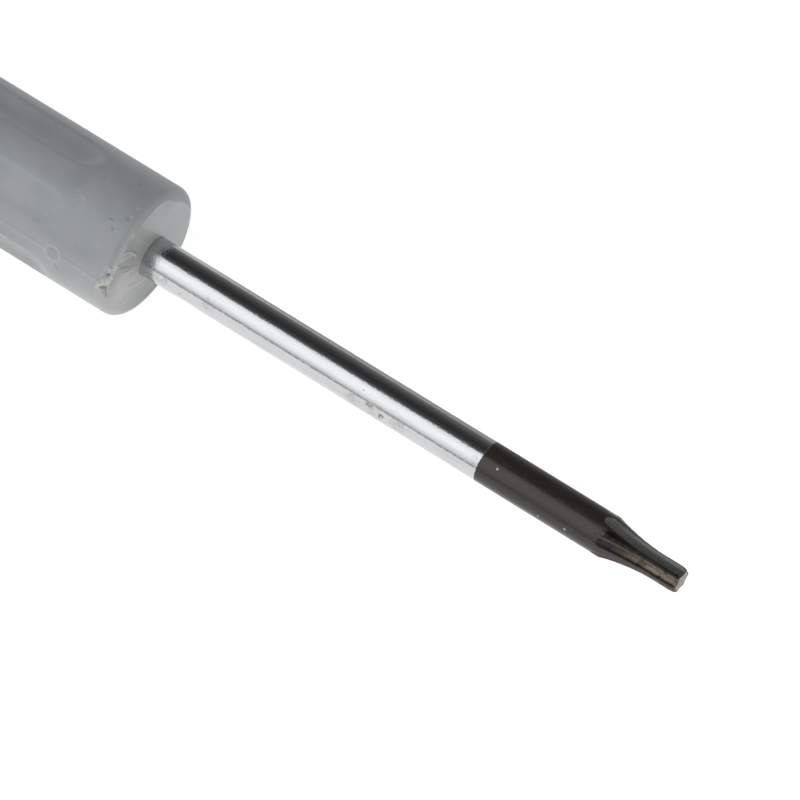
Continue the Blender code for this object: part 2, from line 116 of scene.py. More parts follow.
def distanceToLine(points, line):
    best = np.full(points.shape[:-1], 1.0)
    for start, end in zip(line[:-1], line[1:]):
        run = end - start
        share = np.clip(((points - start) @ run) / (run @ run), 0.0, 1.0)
        nearest = start + share[..., None] * run
        best = np.minimum(best, np.linalg.norm(points - nearest, axis=-1))
    return best


def filleted(corners, steps=6):
    # corners are (x, radius, fillet); a corner with a fillet becomes an arc
    points = []
    for index, (x, radius, fillet) in enumerate(corners):
        here = np.array([x, radius])
        if fillet == 0.0:
            points.append(here)
            continue
        before = np.array(corners[index - 1][:2]) - here
        after = np.array(corners[(index + 1) % len(corners)][:2]) - here
        before = before / np.linalg.norm(before)
        after = after / np.linalg.norm(after)
        half = math.acos(float(np.clip(before @ after, -1.0, 1.0))) / 2
        middle = (before + after) / np.linalg.norm(before + after)
        centre = here + middle * fillet / math.sin(half)
        start = here + before * fillet / math.tan(half) - centre
        end = here + after * fillet / math.tan(half) - centre
        sweep = math.acos(float(np.clip(start @ end / fillet**2, -1.0, 1.0)))
        for step in range(steps + 1):
            share = step / steps
            first = math.sin((1.0 - share) * sweep) / math.sin(sweep)
            second = math.sin(share * sweep) / math.sin(sweep)
            points.append(centre + first * start + second * end)
    return np.array(points)


def spreadRuns(profile, longest, closed):
    # puts extra points on the long straight runs of a profile
    points = []
    count = len(profile)
    for index in range(count if closed else count - 1):
        start = profile[index]
        end = profile[(index + 1) % count]
        pieces = max(1, math.ceil(np.linalg.norm(end - start) / longest))
        points.extend(start + (end - start) * step / pieces for step in range(pieces))
    if not closed:
        points.append(profile[-1])
    return np.array(points)


def ringMesh(name, rings, closed=False):
    # skins rows of points; closed joins the last row to the first, else both ends are filled
    rows, columns = rings.shape[:2]
    here = np.arange(rows * columns).reshape(rows, columns)
    right = np.roll(here, -1, axis=1)
    quads = np.stack([here, right, np.roll(right, -1, axis=0), np.roll(here, -1, axis=0)], axis=-1)
    points = rings.reshape(-1, 3).tolist()
    if closed:
        faces = quads.reshape(-1, 4).tolist()
    else:
        faces = quads[:-1].reshape(-1, 4).tolist()
        for row, order in ((0, (right, here)), (rows - 1, (here, right))):
            hub = len(points)
            points.append(rings[row].mean(axis=0).tolist())
            faces += [(hub, int(a), int(b)) for a, b in zip(order[0][row], order[1][row])]
    mesh = bpy.data.meshes.new(name)
    mesh.from_pydata(points, [], faces)
    body = bmesh.new()
    body.from_mesh(mesh)
    bmesh.ops.recalc_face_normals(body, faces=body.faces)
    body.to_mesh(mesh)
    body.free()
    return mesh


def paintPoints(mesh, name, values, shape=None):
    # a value for each point; points that are added after the rows keep 0
    if shape is not None:
        values = np.broadcast_to(values, shape)
    layer = mesh.attributes.new(name, "FLOAT", "POINT")
    flat = np.zeros(len(mesh.vertices), np.float32)
    flat[: values.size] = values.reshape(-1)
    layer.data.foreach_set("value", flat)


def addPiece(name, mesh, finish, body, node, sharpAngle):
    mesh.shade_smooth()
    mesh.set_sharp_from_angle(angle=math.radians(sharpAngle))
    mesh.materials.append(finish)
    piece = bpy.data.objects.new(name, mesh)
    bpy.context.scene.collection.objects.link(piece)
    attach(piece, body)
    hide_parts(node)
    print("piece:", name, len(mesh.polygons), "faces")
    return piece


# finish helpers

def startFinish(name):
    finish = bpy.data.materials.new(name)
    finish.use_nodes = True
    return finish, finish.node_tree.nodes["Principled BSDF"]


def feed(socket, value):
    if isinstance(value, bpy.types.NodeSocket):
        socket.id_data.links.new(value, socket)
    else:
        socket.default_value = value


def ownCoords(finish):
    return finish.node_tree.nodes.new("ShaderNodeTexCoord").outputs["Object"]


def painted(finish, name):
    node = finish.node_tree.nodes.new("ShaderNodeAttribute")
    node.attribute_name = name
    return node.outputs["Fac"]


def addNode(beside, kind, inputs, **settings):
    # a node in the same tree as another node or socket, with its inputs linked or set
    node = beside.id_data.nodes.new("ShaderNode" + kind)
    for setting, value in settings.items():
        setattr(node, setting, value)
    for socket, value in inputs.items():
        feed(node.inputs[socket], value)
    return node


def splitCoords(where):
    return tuple(addNode(where, "SeparateXYZ", {0: where}).outputs)


def stretched(where, scale):
    return addNode(where, "Mapping", {"Vector": where, "Scale": scale}).outputs["Vector"]


def cloud(where, blotch, detail=3.0, roughness=0.55, warp=0.0):
    # noise with blotches of the given size
    inputs = {"Vector": where, "Scale": 1.0 / blotch, "Detail": detail, "Roughness": roughness,
              "Distortion": warp}
    return addNode(where, "TexNoise", inputs).outputs["Fac"]


def window(value, low, high, bottom=0.0, top=1.0):
    # eases from bottom to top while the value goes from low to high
    inputs = {0: value, 1: low, 2: high, 3: bottom, 4: top}
    return addNode(value, "MapRange", inputs, interpolation_type="SMOOTHSTEP").outputs["Result"]


def calc(operation, *values):
    # joins the values one after another by one operation
    beside = next(value for value in values if isinstance(value, bpy.types.NodeSocket))
    total = values[0]
    for value in values[1:]:
        total = addNode(beside, "Math", {0: total, 1: value}, operation=operation).outputs[0]
    return total


def blend(share, low, high):
    # mixes two values
    return addNode(share, "Mix", {0: share, 2: low, 3: high}).outputs[0]


def tint(share, low, high):
    # mixes two colours, each of them fixed or from a node
    low, high = [(*colour, 1.0) if isinstance(colour, tuple) else colour for colour in (low, high)]
    return addNode(share, "Mix", {0: share, 6: low, 7: high}, data_type="RGBA").outputs[2]


def nearSpot(where, spot, size):
    # 1 at a spot, fading to 0 at the given size
    node = addNode(where, "VectorMath", {0: where, 1: tuple(spot)}, operation="DISTANCE")
    return window(node.outputs["Value"], 0.35 * size, size, 1.0, 0.0)


def bumped(shader, height, strength, depth, under=None):
    inputs = {"Height": height, "Strength": strength, "Distance": depth}
    if under is not None:
        inputs["Normal"] = under
    node = addNode(shader, "Bump", inputs)
    feed(shader.inputs["Normal"], node.outputs["Normal"])
    return node.outputs["Normal"]


# blade: round plated shank, blackened end, six-lobe tip, winged tang inside the handle

blade = {
    "shankRadius": 2.25 * mm,
    "acrossLobes": 2.88 * mm,
    "acrossFlutes": 2.0 * mm,
    "fluteRadius": 0.75 * mm,
    "fluteEdge": 0.07 * mm,
    "straight": 2.7 * mm,
    "neckRadius": 21.5 * mm,  # hollow sweep from the lobes up to the shoulder
    "shoulderRounding": 0.05 * mm,
    "swell": 0.03 * mm,  # metal pushed up round the flutes' ends
    "swellPlace": 0.2 * mm,  # behind the shoulder
    "swellWidth": 0.5 * mm,
    "neckFluteDepth": 0.45 * mm,
    "fluteRunout": 1.2 * mm,
    "runoutLead": 0.3 * mm,  # how far before the shoulder the flutes start to run out
    "endTrim": 0.34 * mm,  # the lobes are turned down and worn round at the end
    "endTrimLength": 0.62 * mm,
    "endRounding": 0.06 * mm,
    "endBlend": 0.05 * mm,
    "lobes": 6,
    "lobeAngle": 13.0,
    "landHalf": 6.5,  # the lobes are worn flat over this angle to each side
    "shadedLobeAngle": 73.0,  # one lobe is painted dark, as shade
    "shadedLobeHalf": 7.5,
    "topFluteAngle": 103.0,
    "columns": 240,
    "sharpAngle": 38.0,  # edges sharper than this are shaded as edges
    "endRows": 0.7 * mm,  # the rows get wider behind this, and again behind the tip
    "tipRows": 11.0 * mm,
    "blackLength": 23.5 * mm,
    "tangChamfer": 0.5 * mm,
    "wingSpan": 6.7 * mm,
    "wingThickness": 1.7 * mm,
    "wingLength": 7.0 * mm,
    "wingFromEnd": 5.0 * mm,
    "wingRamp": 0.5 * mm,
    "wearDepth": 0.012 * mm,
    "wearLength": 7.0 * mm,
    "wearFade": 5.0 * mm,
    "wearLump": 0.7 * mm,
}


def shoulderPlace():
    rise = blade["shankRadius"] - blade["acrossLobes"] / 2
    return blade["straight"] + math.sqrt(2 * blade["neckRadius"] * rise)


def crestRadius(back):
    into = np.clip(back - blade["straight"], 0.0, None)
    sweep = blade["acrossLobes"] / 2 + into**2 / (2 * blade["neckRadius"])
    crest = softMin(sweep, np.full_like(back, blade["shankRadius"]), blade["shoulderRounding"])
    return crest + blade["swell"] * bell(back - shoulderPlace() - blade["swellPlace"], blade["swellWidth"])


def fluteDepth(back):
    shallow = (blade["acrossLobes"] - blade["acrossFlutes"]) / 2
    shoulder = shoulderPlace()
    full = shallow + (blade["neckFluteDepth"] - shallow) * easeStep(back, blade["straight"], shoulder)
    share = np.clip((back - shoulder + blade["runoutLead"]) / blade["fluteRunout"], 0.0, 1.0)
    return full * (1.0 - share * share) ** 0.7


def endLimit(back):
    # largest radius left by the turned-down end
    left = 1.0 - np.clip(back / blade["endTrimLength"], 0.0, 1.0)
    cut = blade["endTrim"] * (1.0 - np.sqrt(1.0 - left**2))
    return np.where(left > 0.0, blade["acrossLobes"] / 2 - cut, 2 * blade["shankRadius"])


def lobedRadius(angle, back, crest, depth):
    flute = blade["fluteRadius"]
    start = math.radians(blade["lobeAngle"]) + math.pi / blade["lobes"]
    off = offNearest(angle, blade["lobes"], start)
    centre = crest - depth + flute
    hollow = grooveFloor(off, centre, flute, 0.0, 2 * crest)
    cutShare = np.minimum(depth / blade["neckFluteDepth"], 1.0)
    rounding = np.maximum(blade["fluteEdge"] * cutShare, 1e-9)
    onLobe = offNearest(angle, blade["lobes"], math.radians(blade["lobeAngle"]))
    worn = np.minimum(math.cos(math.radians(blade["landHalf"])) / np.cos(onLobe), 1.0)
    land = crest * (1.0 - cutShare * (1.0 - worn))
    return softMin(softMin(land, hollow, rounding), endLimit(back), blade["endBlend"])


def wingRadius(angle):
    # a flat bar through the axis, standing up
    tall = blade["wingSpan"] / 2 / np.maximum(np.abs(np.sin(angle)), 1e-6)
    thick = blade["wingThickness"] / 2 / np.maximum(np.abs(np.cos(angle)), 1e-6)
    return np.minimum(tall, thick)


def makeBlade(finish):
    angle = allRound(blade["columns"], math.radians(blade["lobeAngle"]))
    length = tipX - bladeLow.x
    rounding = blade["endRounding"]
    tangEnd = length - blade["tangChamfer"]
    back = np.concatenate([
        np.arange(rounding, blade["endRows"], 0.04 * mm),
        np.arange(blade["endRows"], blade["tipRows"], 0.1 * mm),
        np.arange(blade["tipRows"], tangEnd, 0.5 * mm),
        [tangEnd],
    ])[:, None]
    crest = crestRadius(back)
    depth = fluteDepth(back)
    radius = lobedRadius(angle[None, :], back, crest, depth)
    fromEnd = length - back
    wingEnd = blade["wingFromEnd"]
    ramp = blade["wingRamp"]
    inWing = easeStep(fromEnd, wingEnd, wingEnd + ramp)
    inWing = inWing * (1.0 - easeStep(fromEnd - blade["wingLength"], wingEnd - ramp, wingEnd))
    radius = radius + inWing * np.clip(wingRadius(angle)[None, :] - radius, 0.0, None)
    whole = np.minimum(crest, endLimit(back))
    flute = np.clip((whole - radius) / np.maximum(depth, 1e-9), 0.0, 1.0) * (depth > 1e-7)
    points = around(tipX - back, radius, angle[None, :])
    worn = easeStep(blade["wearLength"] - back, 0.0, blade["wearFade"]) * blade["wearDepth"]
    uneven = 1.0 + ripple(points, blade["wearLump"], 3)
    points = around(tipX - back, radius - worn * uneven, angle[None, :])
    first = np.linalg.norm(points[0, :, 1:] - np.array([0.0, axisZ]), axis=-1)
    rings = [around(tipX, share * (first - rounding), angle) for share in (0.3, 0.6, 0.85)]  # flat end face
    for step in range(6):  # rounded rim
        turn = math.pi / 2 * step / 6
        rim = first - rounding * (1.0 - math.sin(turn))
        rings.append(around(tipX - rounding * (1.0 - math.cos(turn)), rim, angle))
    fluteRows = np.array([flute[0]] * len(rings) + list(flute) + [np.zeros_like(angle)])
    rings.extend(points)
    rings.append(around(bladeLow.x, blade["shankRadius"] - blade["tangChamfer"], angle))
    mesh = ringMesh("bladeSkin", np.array(rings))
    paintPoints(mesh, "flute", fluteRows)
    offTop = offNearest(angle, 1, math.radians(blade["topFluteAngle"]))
    paintPoints(mesh, "topFlute", np.abs(offTop) < math.pi / blade["lobes"], fluteRows.shape)
    offShadedLobe = offNearest(angle, 1, math.radians(blade["shadedLobeAngle"]))
    paintPoints(mesh, "shadedLobe", bell(offShadedLobe, math.radians(blade["shadedLobeHalf"])), fluteRows.shape)
    return addPiece("blade_plated", mesh, finish, "handle", "blade", blade["sharpAngle"])


bladeFinish = {
    "chrome": (0.59, 0.592, 0.60),
    "chromeCloud": (0.54, 0.54, 0.545),
    "smudge": (0.45, 0.44, 0.42),
    "pitted": (0.2, 0.195, 0.19),
    "blackened": (0.0305, 0.0245, 0.0205),
    "blackenedDust": (0.05, 0.043, 0.037),
    "speck": (0.5, 0.47, 0.42),
    "topFluteGrey": (0.13, 0.127, 0.117),
    "lowNeckTint": (0.085, 0.062, 0.06),
    "plum": (0.105, 0.08, 0.083),
    "straw": (0.092, 0.071, 0.048),
    "bareSteel": (0.168, 0.138, 0.108),
    "rust": (0.035, 0.026, 0.02),
    "endFace": (0.19, 0.157, 0.133),
    # painted highlight on the lobes of the far side
    "lobeHighlight": (0.13, 0.125, 0.115),
    # painted highlight along the far rim of the shoulder
    "shoulderRimHighlight": (0.4, 0.39, 0.37),
    # painted shade on one lobe
    "shadedLobe": (0.017, 0.015, 0.013),
    # distances from the tip's end where a look starts and where it is full
    "neckRun": (10.8 * mm, 8.8 * mm),
    "shoulderRun": (10.2 * mm, 9.6 * mm),
    "shoulderEnd": (7.8 * mm, 6.4 * mm),
    "fluteRun": (9.8 * mm, 8.8 * mm),
    "shadedLobeRun": (9.6 * mm, 8.0 * mm),
    "lobeRun": (8.5 * mm, 5.0 * mm),
    "strawRun": (7.6 * mm, 6.0 * mm),
    "rubbedRun": (7.5 * mm, 2.0 * mm),
    "endRun": (0.1 * mm, 0.03 * mm),
    "lowSide": (0.2 * mm, 1.7 * mm),  # heights above the axis
    "farSide": (0.3 * mm, 0.8 * mm),  # distances beyond the axis
    "farRim": (1.3 * mm, 1.75 * mm),
    "platedGloss": (0.04, 0.09),  # roughness
    "blackGloss": (0.16, 0.3),
    "peelSize": 0.2 * mm,  # fine unevenness of the plating
    "peelDepth": 0.014 * mm,
    "stain": (4.3 * mm, 24.0, 0.8 * mm),  # distance from the tip's end, angle, size
    "pits": [  # distance in front of the handle, angle, size
        (5.1 * mm, 10.0, 0.36 * mm),
        (27.3 * mm, 54.0, 0.2 * mm),
        (28.5 * mm, 27.0, 0.72 * mm),
        (30.1 * mm, 13.0, 0.66 * mm),
    ],
    "smudges": [
        (2.6 * mm, 20.0, 1.6 * mm),
        (8.5 * mm, 32.0, 1.5 * mm),
        (26.6 * mm, 10.0, 1.7 * mm),
        (29.3 * mm, 12.0, 2.1 * mm),
        (32.0 * mm, 12.0, 1.8 * mm),
        (41.0 * mm, 50.0, 1.0 * mm),
    ],
    "specks": [
        (43.5 * mm, 62.0, 0.2 * mm),
        (49.3 * mm, 5.0, 0.16 * mm),
        (52.4 * mm, 16.0, 0.2 * mm),
    ],
}


def anySpot(where, spots):
    # 1 at each of a number of spots on the shank
    shares = []
    for ahead, angle, size in spots:
        spot = around(faceX + ahead, blade["shankRadius"], math.radians(angle))
        shares.append(nearSpot(where, spot, size))
    return calc("MAXIMUM", *shares)


def makeBladeFinish():
    finish, shader = startFinish("platedBlade")
    look = bladeFinish
    where = ownCoords(finish)
    along, across, up = splitCoords(where)
    fine = cloud(where, 0.35 * mm, 4.0, 0.6)
    drawn = cloud(stretched(where, (0.12, 1.0, 1.0)), 0.5 * mm, 4.0, 0.6)
    mottle = cloud(where, 0.55 * mm, 5.0, 0.65, 0.4)

    def tipRun(name, bottom=0.0, top=1.0):
        start, full = look[name]
        return window(along, tipX - start, tipX - full, bottom, top)

    # plated shank with a few pits and dull smudges
    nearPit = calc("MULTIPLY", anySpot(where, look["pits"]), 0.5)
    pits = window(calc("ADD", nearPit, fine), 0.92, 1.12)
    blurred = cloud(where, 0.45 * mm, 5.0, 0.7, 0.15)
    nearSmudge = calc("MULTIPLY", anySpot(where, look["smudges"]), 0.35)
    smudge = window(calc("ADD", nearSmudge, blurred), 0.72, 1.05)
    plated = tint(window(drawn, 0.42, 0.72), look["chrome"], look["chromeCloud"])
    plated = tint(smudge, plated, look["smudge"])
    plated = tint(pits, plated, look["pitted"])

    # blackened end, dusted with grey along the drawing direction
    dust = cloud(stretched(where, (0.25, 1.0, 1.0)), 0.9 * mm, 5.0, 0.65)
    black = tint(window(dust, 0.48, 0.78), look["blackened"], look["blackenedDust"])
    specks = window(anySpot(where, look["specks"]), 0.3, 0.7)
    black = tint(specks, black, look["speck"])

    # a reddish tint on the lower side of the neck, temper colours in the flutes, and a duller grey in the
    # top flute
    flute = painted(finish, "flute")
    low, high = look["lowSide"]
    lowSide = window(up, axisZ + low, axisZ + high, 1.0, 0.0)
    lowNeckTint = calc("MULTIPLY", tipRun("neckRun"), lowSide, window(mottle, 0.3, 0.6, 0.35, 1.0))
    black = tint(lowNeckTint, black, look["lowNeckTint"])
    inFlute = calc("MULTIPLY", window(flute, 0.02, 0.16), tipRun("fluteRun"))
    annealed = tint(tipRun("strawRun"), look["plum"], look["straw"])
    black = tint(calc("MULTIPLY", inFlute, 0.8), black, annealed)
    inTop = calc("MULTIPLY", inFlute, painted(finish, "topFlute"))
    inOther = calc("SUBTRACT", inFlute, inTop)
    black = tint(inTop, black, look["topFluteGrey"])

    # bare worn steel with rust spots in the flutes, a painted highlight on the far lobes and on the
    # shoulder's far rim, one lobe painted dark as shade, and the end face
    patchy = window(mottle, 0.28, 0.6, 0.25, 1.0)
    rubbed = calc("MULTIPLY", inOther, tipRun("rubbedRun"), patchy)
    # the lobes of the far side are painted lighter, as a highlight
    farLobeHighlight = calc("MULTIPLY", window(flute, 0.05, 0.35, 0.7, 0.0),
                   window(across, *look["farSide"]), tipRun("lobeRun"))
    # a painted highlight along the far rim of the shoulder
    shoulder = calc("MULTIPLY", tipRun("shoulderRun"), tipRun("shoulderEnd", 1.0, 0.0),
                    window(across, *look["farRim"]))
    # one lobe is painted dark, as shade
    shadedLobe = calc("MULTIPLY", painted(finish, "shadedLobe"), tipRun("shadedLobeRun"))
    endFace = tipRun("endRun")
    back, turn, size = look["stain"]
    stain = nearSpot(where, around(tipX - back, blade["acrossFlutes"] / 2, math.radians(turn)), size)
    rusty = calc("ADD", cloud(where, 0.45 * mm, 3.0, 0.6), calc("MULTIPLY", stain, 0.16))
    steel = tint(window(rusty, 0.53, 0.64), look["bareSteel"], look["rust"])
    black = tint(rubbed, black, steel)
    # painted highlights on the far side, painted shade on one lobe
    black = tint(farLobeHighlight, black, look["lobeHighlight"])
    black = tint(shoulder, black, look["shoulderRimHighlight"])
    black = tint(shadedLobe, black, look["shadedLobe"])
    black = tint(endFace, black, tint(fine, look["straw"], look["endFace"]))

    # the black finish ends at a slightly uneven line
    edge = calc("ADD", along, calc("MULTIPLY", fine, 0.16 * mm))
    start = tipX - blade["blackLength"]
    blackened = window(edge, start + 0.03 * mm, start + 0.12 * mm)
    feed(shader.inputs["Base Color"], tint(blackened, plated, black))
    bright = calc("SUBTRACT", 1.0, blackened)
    coloured = calc("MULTIPLY", calc("MAXIMUM", lowNeckTint, inOther), 0.7)
    bare = calc("MAXIMUM", rubbed, endFace, farLobeHighlight, shoulder, shadedLobe)
    bare = calc("MULTIPLY", bare, 0.85)
    feed(shader.inputs["Metallic"], calc("MAXIMUM", bright, coloured, bare))
    marks = calc("ADD", calc("MULTIPLY", pits, 0.4), calc("MULTIPLY", smudge, 0.2))
    platedRough = calc("ADD", window(drawn, 0.35, 0.75, *look["platedGloss"]), marks)
    blackRough = window(mottle, 0.3, 0.7, *look["blackGloss"])
    feed(shader.inputs["Roughness"], blend(blackened, platedRough, blackRough))
    shader.inputs["IOR"].default_value = 1.5
    under = bumped(shader, cloud(where, look["peelSize"], 3.0, 0.6), 1.0, look["peelDepth"])
    under = bumped(shader, calc("MULTIPLY", fine, blackened), 0.3, 0.01 * mm, under)
    bumped(shader, calc("MULTIPLY", pits, -1.0), 0.6, 0.03 * mm, under)
    return finish


# grip skin: soft grey moulding with its parting lines, flash and gate marks

grip = {
    "radius": (gripHigh.z - gripLow.z) / 2,
    "wall": 2.4 * mm,
    "frontWall": 2.4 * mm,
    "holeGap": 0.012 * mm,
    "frontFillet": 1.35 * mm,
    "faceFlat": 3.9 * mm,  # radius where the face starts to dome towards its crease
    "domeStarts": (24.0, 46.0),  # angles between which the dome comes and goes
    "domeEnds": (150.0, 190.0),
    "rearFillet": 0.6 * mm,
    "flutes": 6,
    "fluteWidth": 4.0 * mm,
    "fluteDepth": 0.7 * mm,
    "fluteFront": 8.0 * mm,
    "fluteLength": 43.0 * mm,
    "fluteEdge": 0.3 * mm,
    "landAngle": 22.0,
    "waistDepth": 1.5 * mm,
    "waistLength": 22.0 * mm,
    "waistFromRear": 2.6 * mm,
    "keyWidth": 1.6 * mm,
    "keyHeight": 0.5 * mm,
    "keyFront": 9.0 * mm,
    "keyLength": 40.0 * mm,
    "keyGap": 0.1 * mm,
    "keyStep": 0.02 * mm,  # half the slope at a key's end
    "sag": 0.018 * mm,
    "sagSize": 3.2 * mm,
    "ridgeHeight": 0.045 * mm,
    "ridgeWidth": 0.2 * mm,
    "ridgeFront": (0.7 * mm, 1.4 * mm),
    "ridgePale": 0.24,
    "shredSize": 0.16 * mm,  # lumps of the torn edges
    "wanderSize": 0.9 * mm,
    "markedLength": 15.5 * mm,  # the moulding marks end here
    "filletMark": 1.45,  # out from the face's edge in millimetres, for a small mark on the fillet
    "sharpAngle": 62.0,
}

# raised or sunk lines on the front end, in millimetres, degrees and shares: points as distance outward from
# the face's edge and angle, then width, height, raggedness, paleness and darkness
flashLines = [
    ([(2.4, 16.5), (1.95, 23.5), (1.5, 27.0), (1.0, 30.5)], 0.2, 0.22, 0.6, 1.0, 0.0),  # torn flake
    ([(1.95, 21.5), (1.5, 24.5), (1.2, 25.5)], 0.2, 0.13, 0.7, 0.7, 0.0),  # its root
    ([(2.2, 28.0), (1.95, 32.0), (1.9, 38.5)], 0.13, 0.12, 0.9, 0.7, 0.0),  # flake behind
    ([(1.45, 34.0), (1.55, 37.5), (1.2, 38.0), (1.05, 41.5)], 0.13, 0.12, 0.9, 0.75, 0.0),  # flake above
    ([(1.9, 17.5), (1.45, 20.0), (1.3, 15.0), (1.2, 9.5)], 0.14, -0.11, 0.8, 0.0, 0.5),  # notch below, darkened as the torn flake's painted shadow
    ([(1.75, 17.5), (1.5, 12.0)], 0.1, -0.06, 0.8, 0.0, 0.3),  # notch beside, darkened as the torn flake's painted shadow
    ([(0.95, 17.0), (0.85, 27.0)], 0.09, -0.05, 0.6, 0.0, 0.2),  # groove
    ([(0.81, 52.5), (0.36, 55.0), (-0.56, 56.5), (-1.7, 54.5), (-2.0, 50.0)],
     0.1, 0.07, 0.4, 0.45, 0.0),  # curl
    ([(-1.5, 51.5), (-1.9, 47.5)], 0.13, -0.05, 0.4, 0.0, 0.4),  # hollow of the curl, darkened with painted shade
    ([(-0.9, 30.0), (-2.0, 29.0), (-3.0, 31.0)], 0.14, 0.05, 0.5, 0.35, 0.0),  # gate's edge
    ([(-2.4, 24.0), (-2.3, 15.0)], 0.12, -0.04, 0.4, 0.0, 0.35),  # nick in the gate
    ([(-2.2, -11.0), (-3.0, -36.0), (-3.5, -58.0)], 0.24, 0.05, 0.7, 0.3, 0.0),  # smear
    ([(-2.0, -64.0), (-2.2, -36.0)], 1.3, 0.0, 0.2, 0.0, 0.24),  # painted shade in the corner under the blade
    ([(0.2, 72.0), (-0.7, 70.0), (-1.2, 72.0)], 0.3, 0.02, 0.8, 0.3, 0.0),  # pale patch
    ([(0.25, 128.0), (0.15, 140.0), (0.15, 162.0)], 0.1, 0.04, 0.3, 0.3, 0.0),  # thread on the edge
    ([(7.6, 11.5), (7.3, 8.5)], 0.12, -0.03, 0.4, 0.0, 0.35),  # tick
]
flashRing = {
    "place": 0.92,  # out from the edge of the face, halfway round its fillet
    "farPlace": 0.15,
    "leaves": 112.0,
    "arrives": 136.0,
    "width": 0.26,
    "wander": 0.2,
    "skirtPlace": 0.1,
    "skirtWidth": 0.39,
    "thin": 0.012,
    "thick": 0.11,
    "thickFrom": 31.0,
    "thickTo": 74.0,
    "fadeTo": 125.0,
}
# pale band on the upper part of the rounding of the front
upperPaleBand = {"place": 1.35, "width": 0.5, "starts": (52.0, 66.0), "ends": (140.0, 170.0), "pale": 0.2}
# small round marks: distance behind the face, angle, size, height
gripMarks = [
    (0.62, 31.5, 0.14, -0.26),
    (3.08, 73.0, 0.16, -0.05),
    (2.41, 66.5, 0.2, -0.045),
    (1.66, 79.5, 0.22, -0.045),
    (3.27, 111.0, 0.2, -0.05),
    (6.53, 98.5, 0.2, -0.04),
    (6.88, 75.5, 0.28, 0.04),
    (7.9, 79.0, 0.3, 0.03),
    (5.8, 54.0, 0.22, 0.025),
    (1.45, 92.0, 0.3, 0.035),
    (1.9, 86.0, 0.24, 0.03),
    (1.5, 83.0, 0.2, 0.035),
]
gateRing = {"behind": 7.3, "angle": 22.0, "radius": 0.9, "width": 0.17, "height": 0.06, "dish": 0.05}
gateNub = {"place": -1.1, "angle": 44.0, "long": 1.9, "wide": 0.85, "height": 0.05}


def frontProfile(out):
    # slope, distance behind the face and radius; out runs from the edge of the flat face over the fillet
    # and along the side
    fillet = grip["frontFillet"]
    slope = np.clip(out / fillet, 0.0, math.pi / 2)
    behind = fillet * (1.0 - np.cos(slope)) + np.clip(out - fillet * math.pi / 2, 0.0, None)
    radius = grip["radius"] - fillet + fillet * np.sin(slope) + np.minimum(out, 0.0)
    return slope, behind, radius


def frontSpot(out, degrees):
    # a point on the front end, out in millimetres
    behind, radius = frontProfile(out * mm)[1:]
    return around(faceX - behind, radius, math.radians(degrees))


def creasePlace(angle):
    # how far out the crease round the face lies
    share = easeStep(np.degrees(angle), flashRing["leaves"], flashRing["arrives"])
    return (flashRing["place"] + (flashRing["farPlace"] - flashRing["place"]) * share) * mm


def domedFace(out, behind, radius, angle):
    # the upper part of the face falls back slightly and meets the fillet in a crease
    place = creasePlace(angle)
    creaseBehind, creaseRadius = frontProfile(place)[1:]
    share = np.clip((radius - grip["faceFlat"]) / (creaseRadius - grip["faceFlat"]), 0.0, 1.0)
    degrees = np.degrees(angle)
    upper = easeStep(degrees, *grip["domeStarts"]) * (1.0 - easeStep(degrees, *grip["domeEnds"]))
    return np.where(out < place, behind + upper * (creaseBehind * share**2 - behind), behind)


def skinRadius(behind, angle):
    # the grip's side: waist near the rear, and flutes with round ends
    full = grip["radius"]
    length = faceX - gripLow.x
    rear = length - grip["waistFromRear"]
    share = np.clip((behind - rear + grip["waistLength"]) / grip["waistLength"], 0.0, 1.0)
    waist = full - grip["waistDepth"] * (1.0 - np.cos(2 * math.pi * share)) / 2
    half = grip["fluteWidth"] / 2
    depth = grip["fluteDepth"]
    below = depth - full + math.sqrt(full**2 - half**2)
    cutter = (below**2 + half**2) / (2 * below)
    endReach = math.sqrt(cutter**2 - (cutter - depth) ** 2)
    middle = grip["fluteFront"] + grip["fluteLength"] / 2
    pastEnd = np.clip(np.abs(behind - middle) - grip["fluteLength"] / 2 + endReach, 0.0, None)
    start = math.radians(grip["landAngle"]) + math.pi / grip["flutes"]
    off = offNearest(angle, grip["flutes"], start)
    hollow = grooveFloor(off, full - depth + cutter, cutter, pastEnd, 2 * full)
    return softMin(waist + 0.0 * off, hollow, grip["fluteEdge"])


def keyLift(behind, angle, clearance):
    # how far a key of the core, or its slot in the skin, stands above the core
    half = grip["keyWidth"] / 2 + clearance
    off = offNearest(angle, grip["flutes"], math.radians(grip["landAngle"]))
    beside = np.abs(off) * (grip["radius"] - grip["wall"])
    front = grip["keyFront"] - clearance
    rear = grip["keyFront"] + grip["keyLength"] + clearance
    inside = (behind > front) & (behind < rear) & (beside < half)
    return np.where(inside, grip["keyHeight"] + clearance, 0.0)


def keyStops(clearance):
    # places behind the face just outside and inside the ends of the keys
    step = grip["keyStep"]
    front = grip["keyFront"] - clearance
    rear = grip["keyFront"] + grip["keyLength"] + clearance
    return [rear + step, rear - step, front + step, front - step]


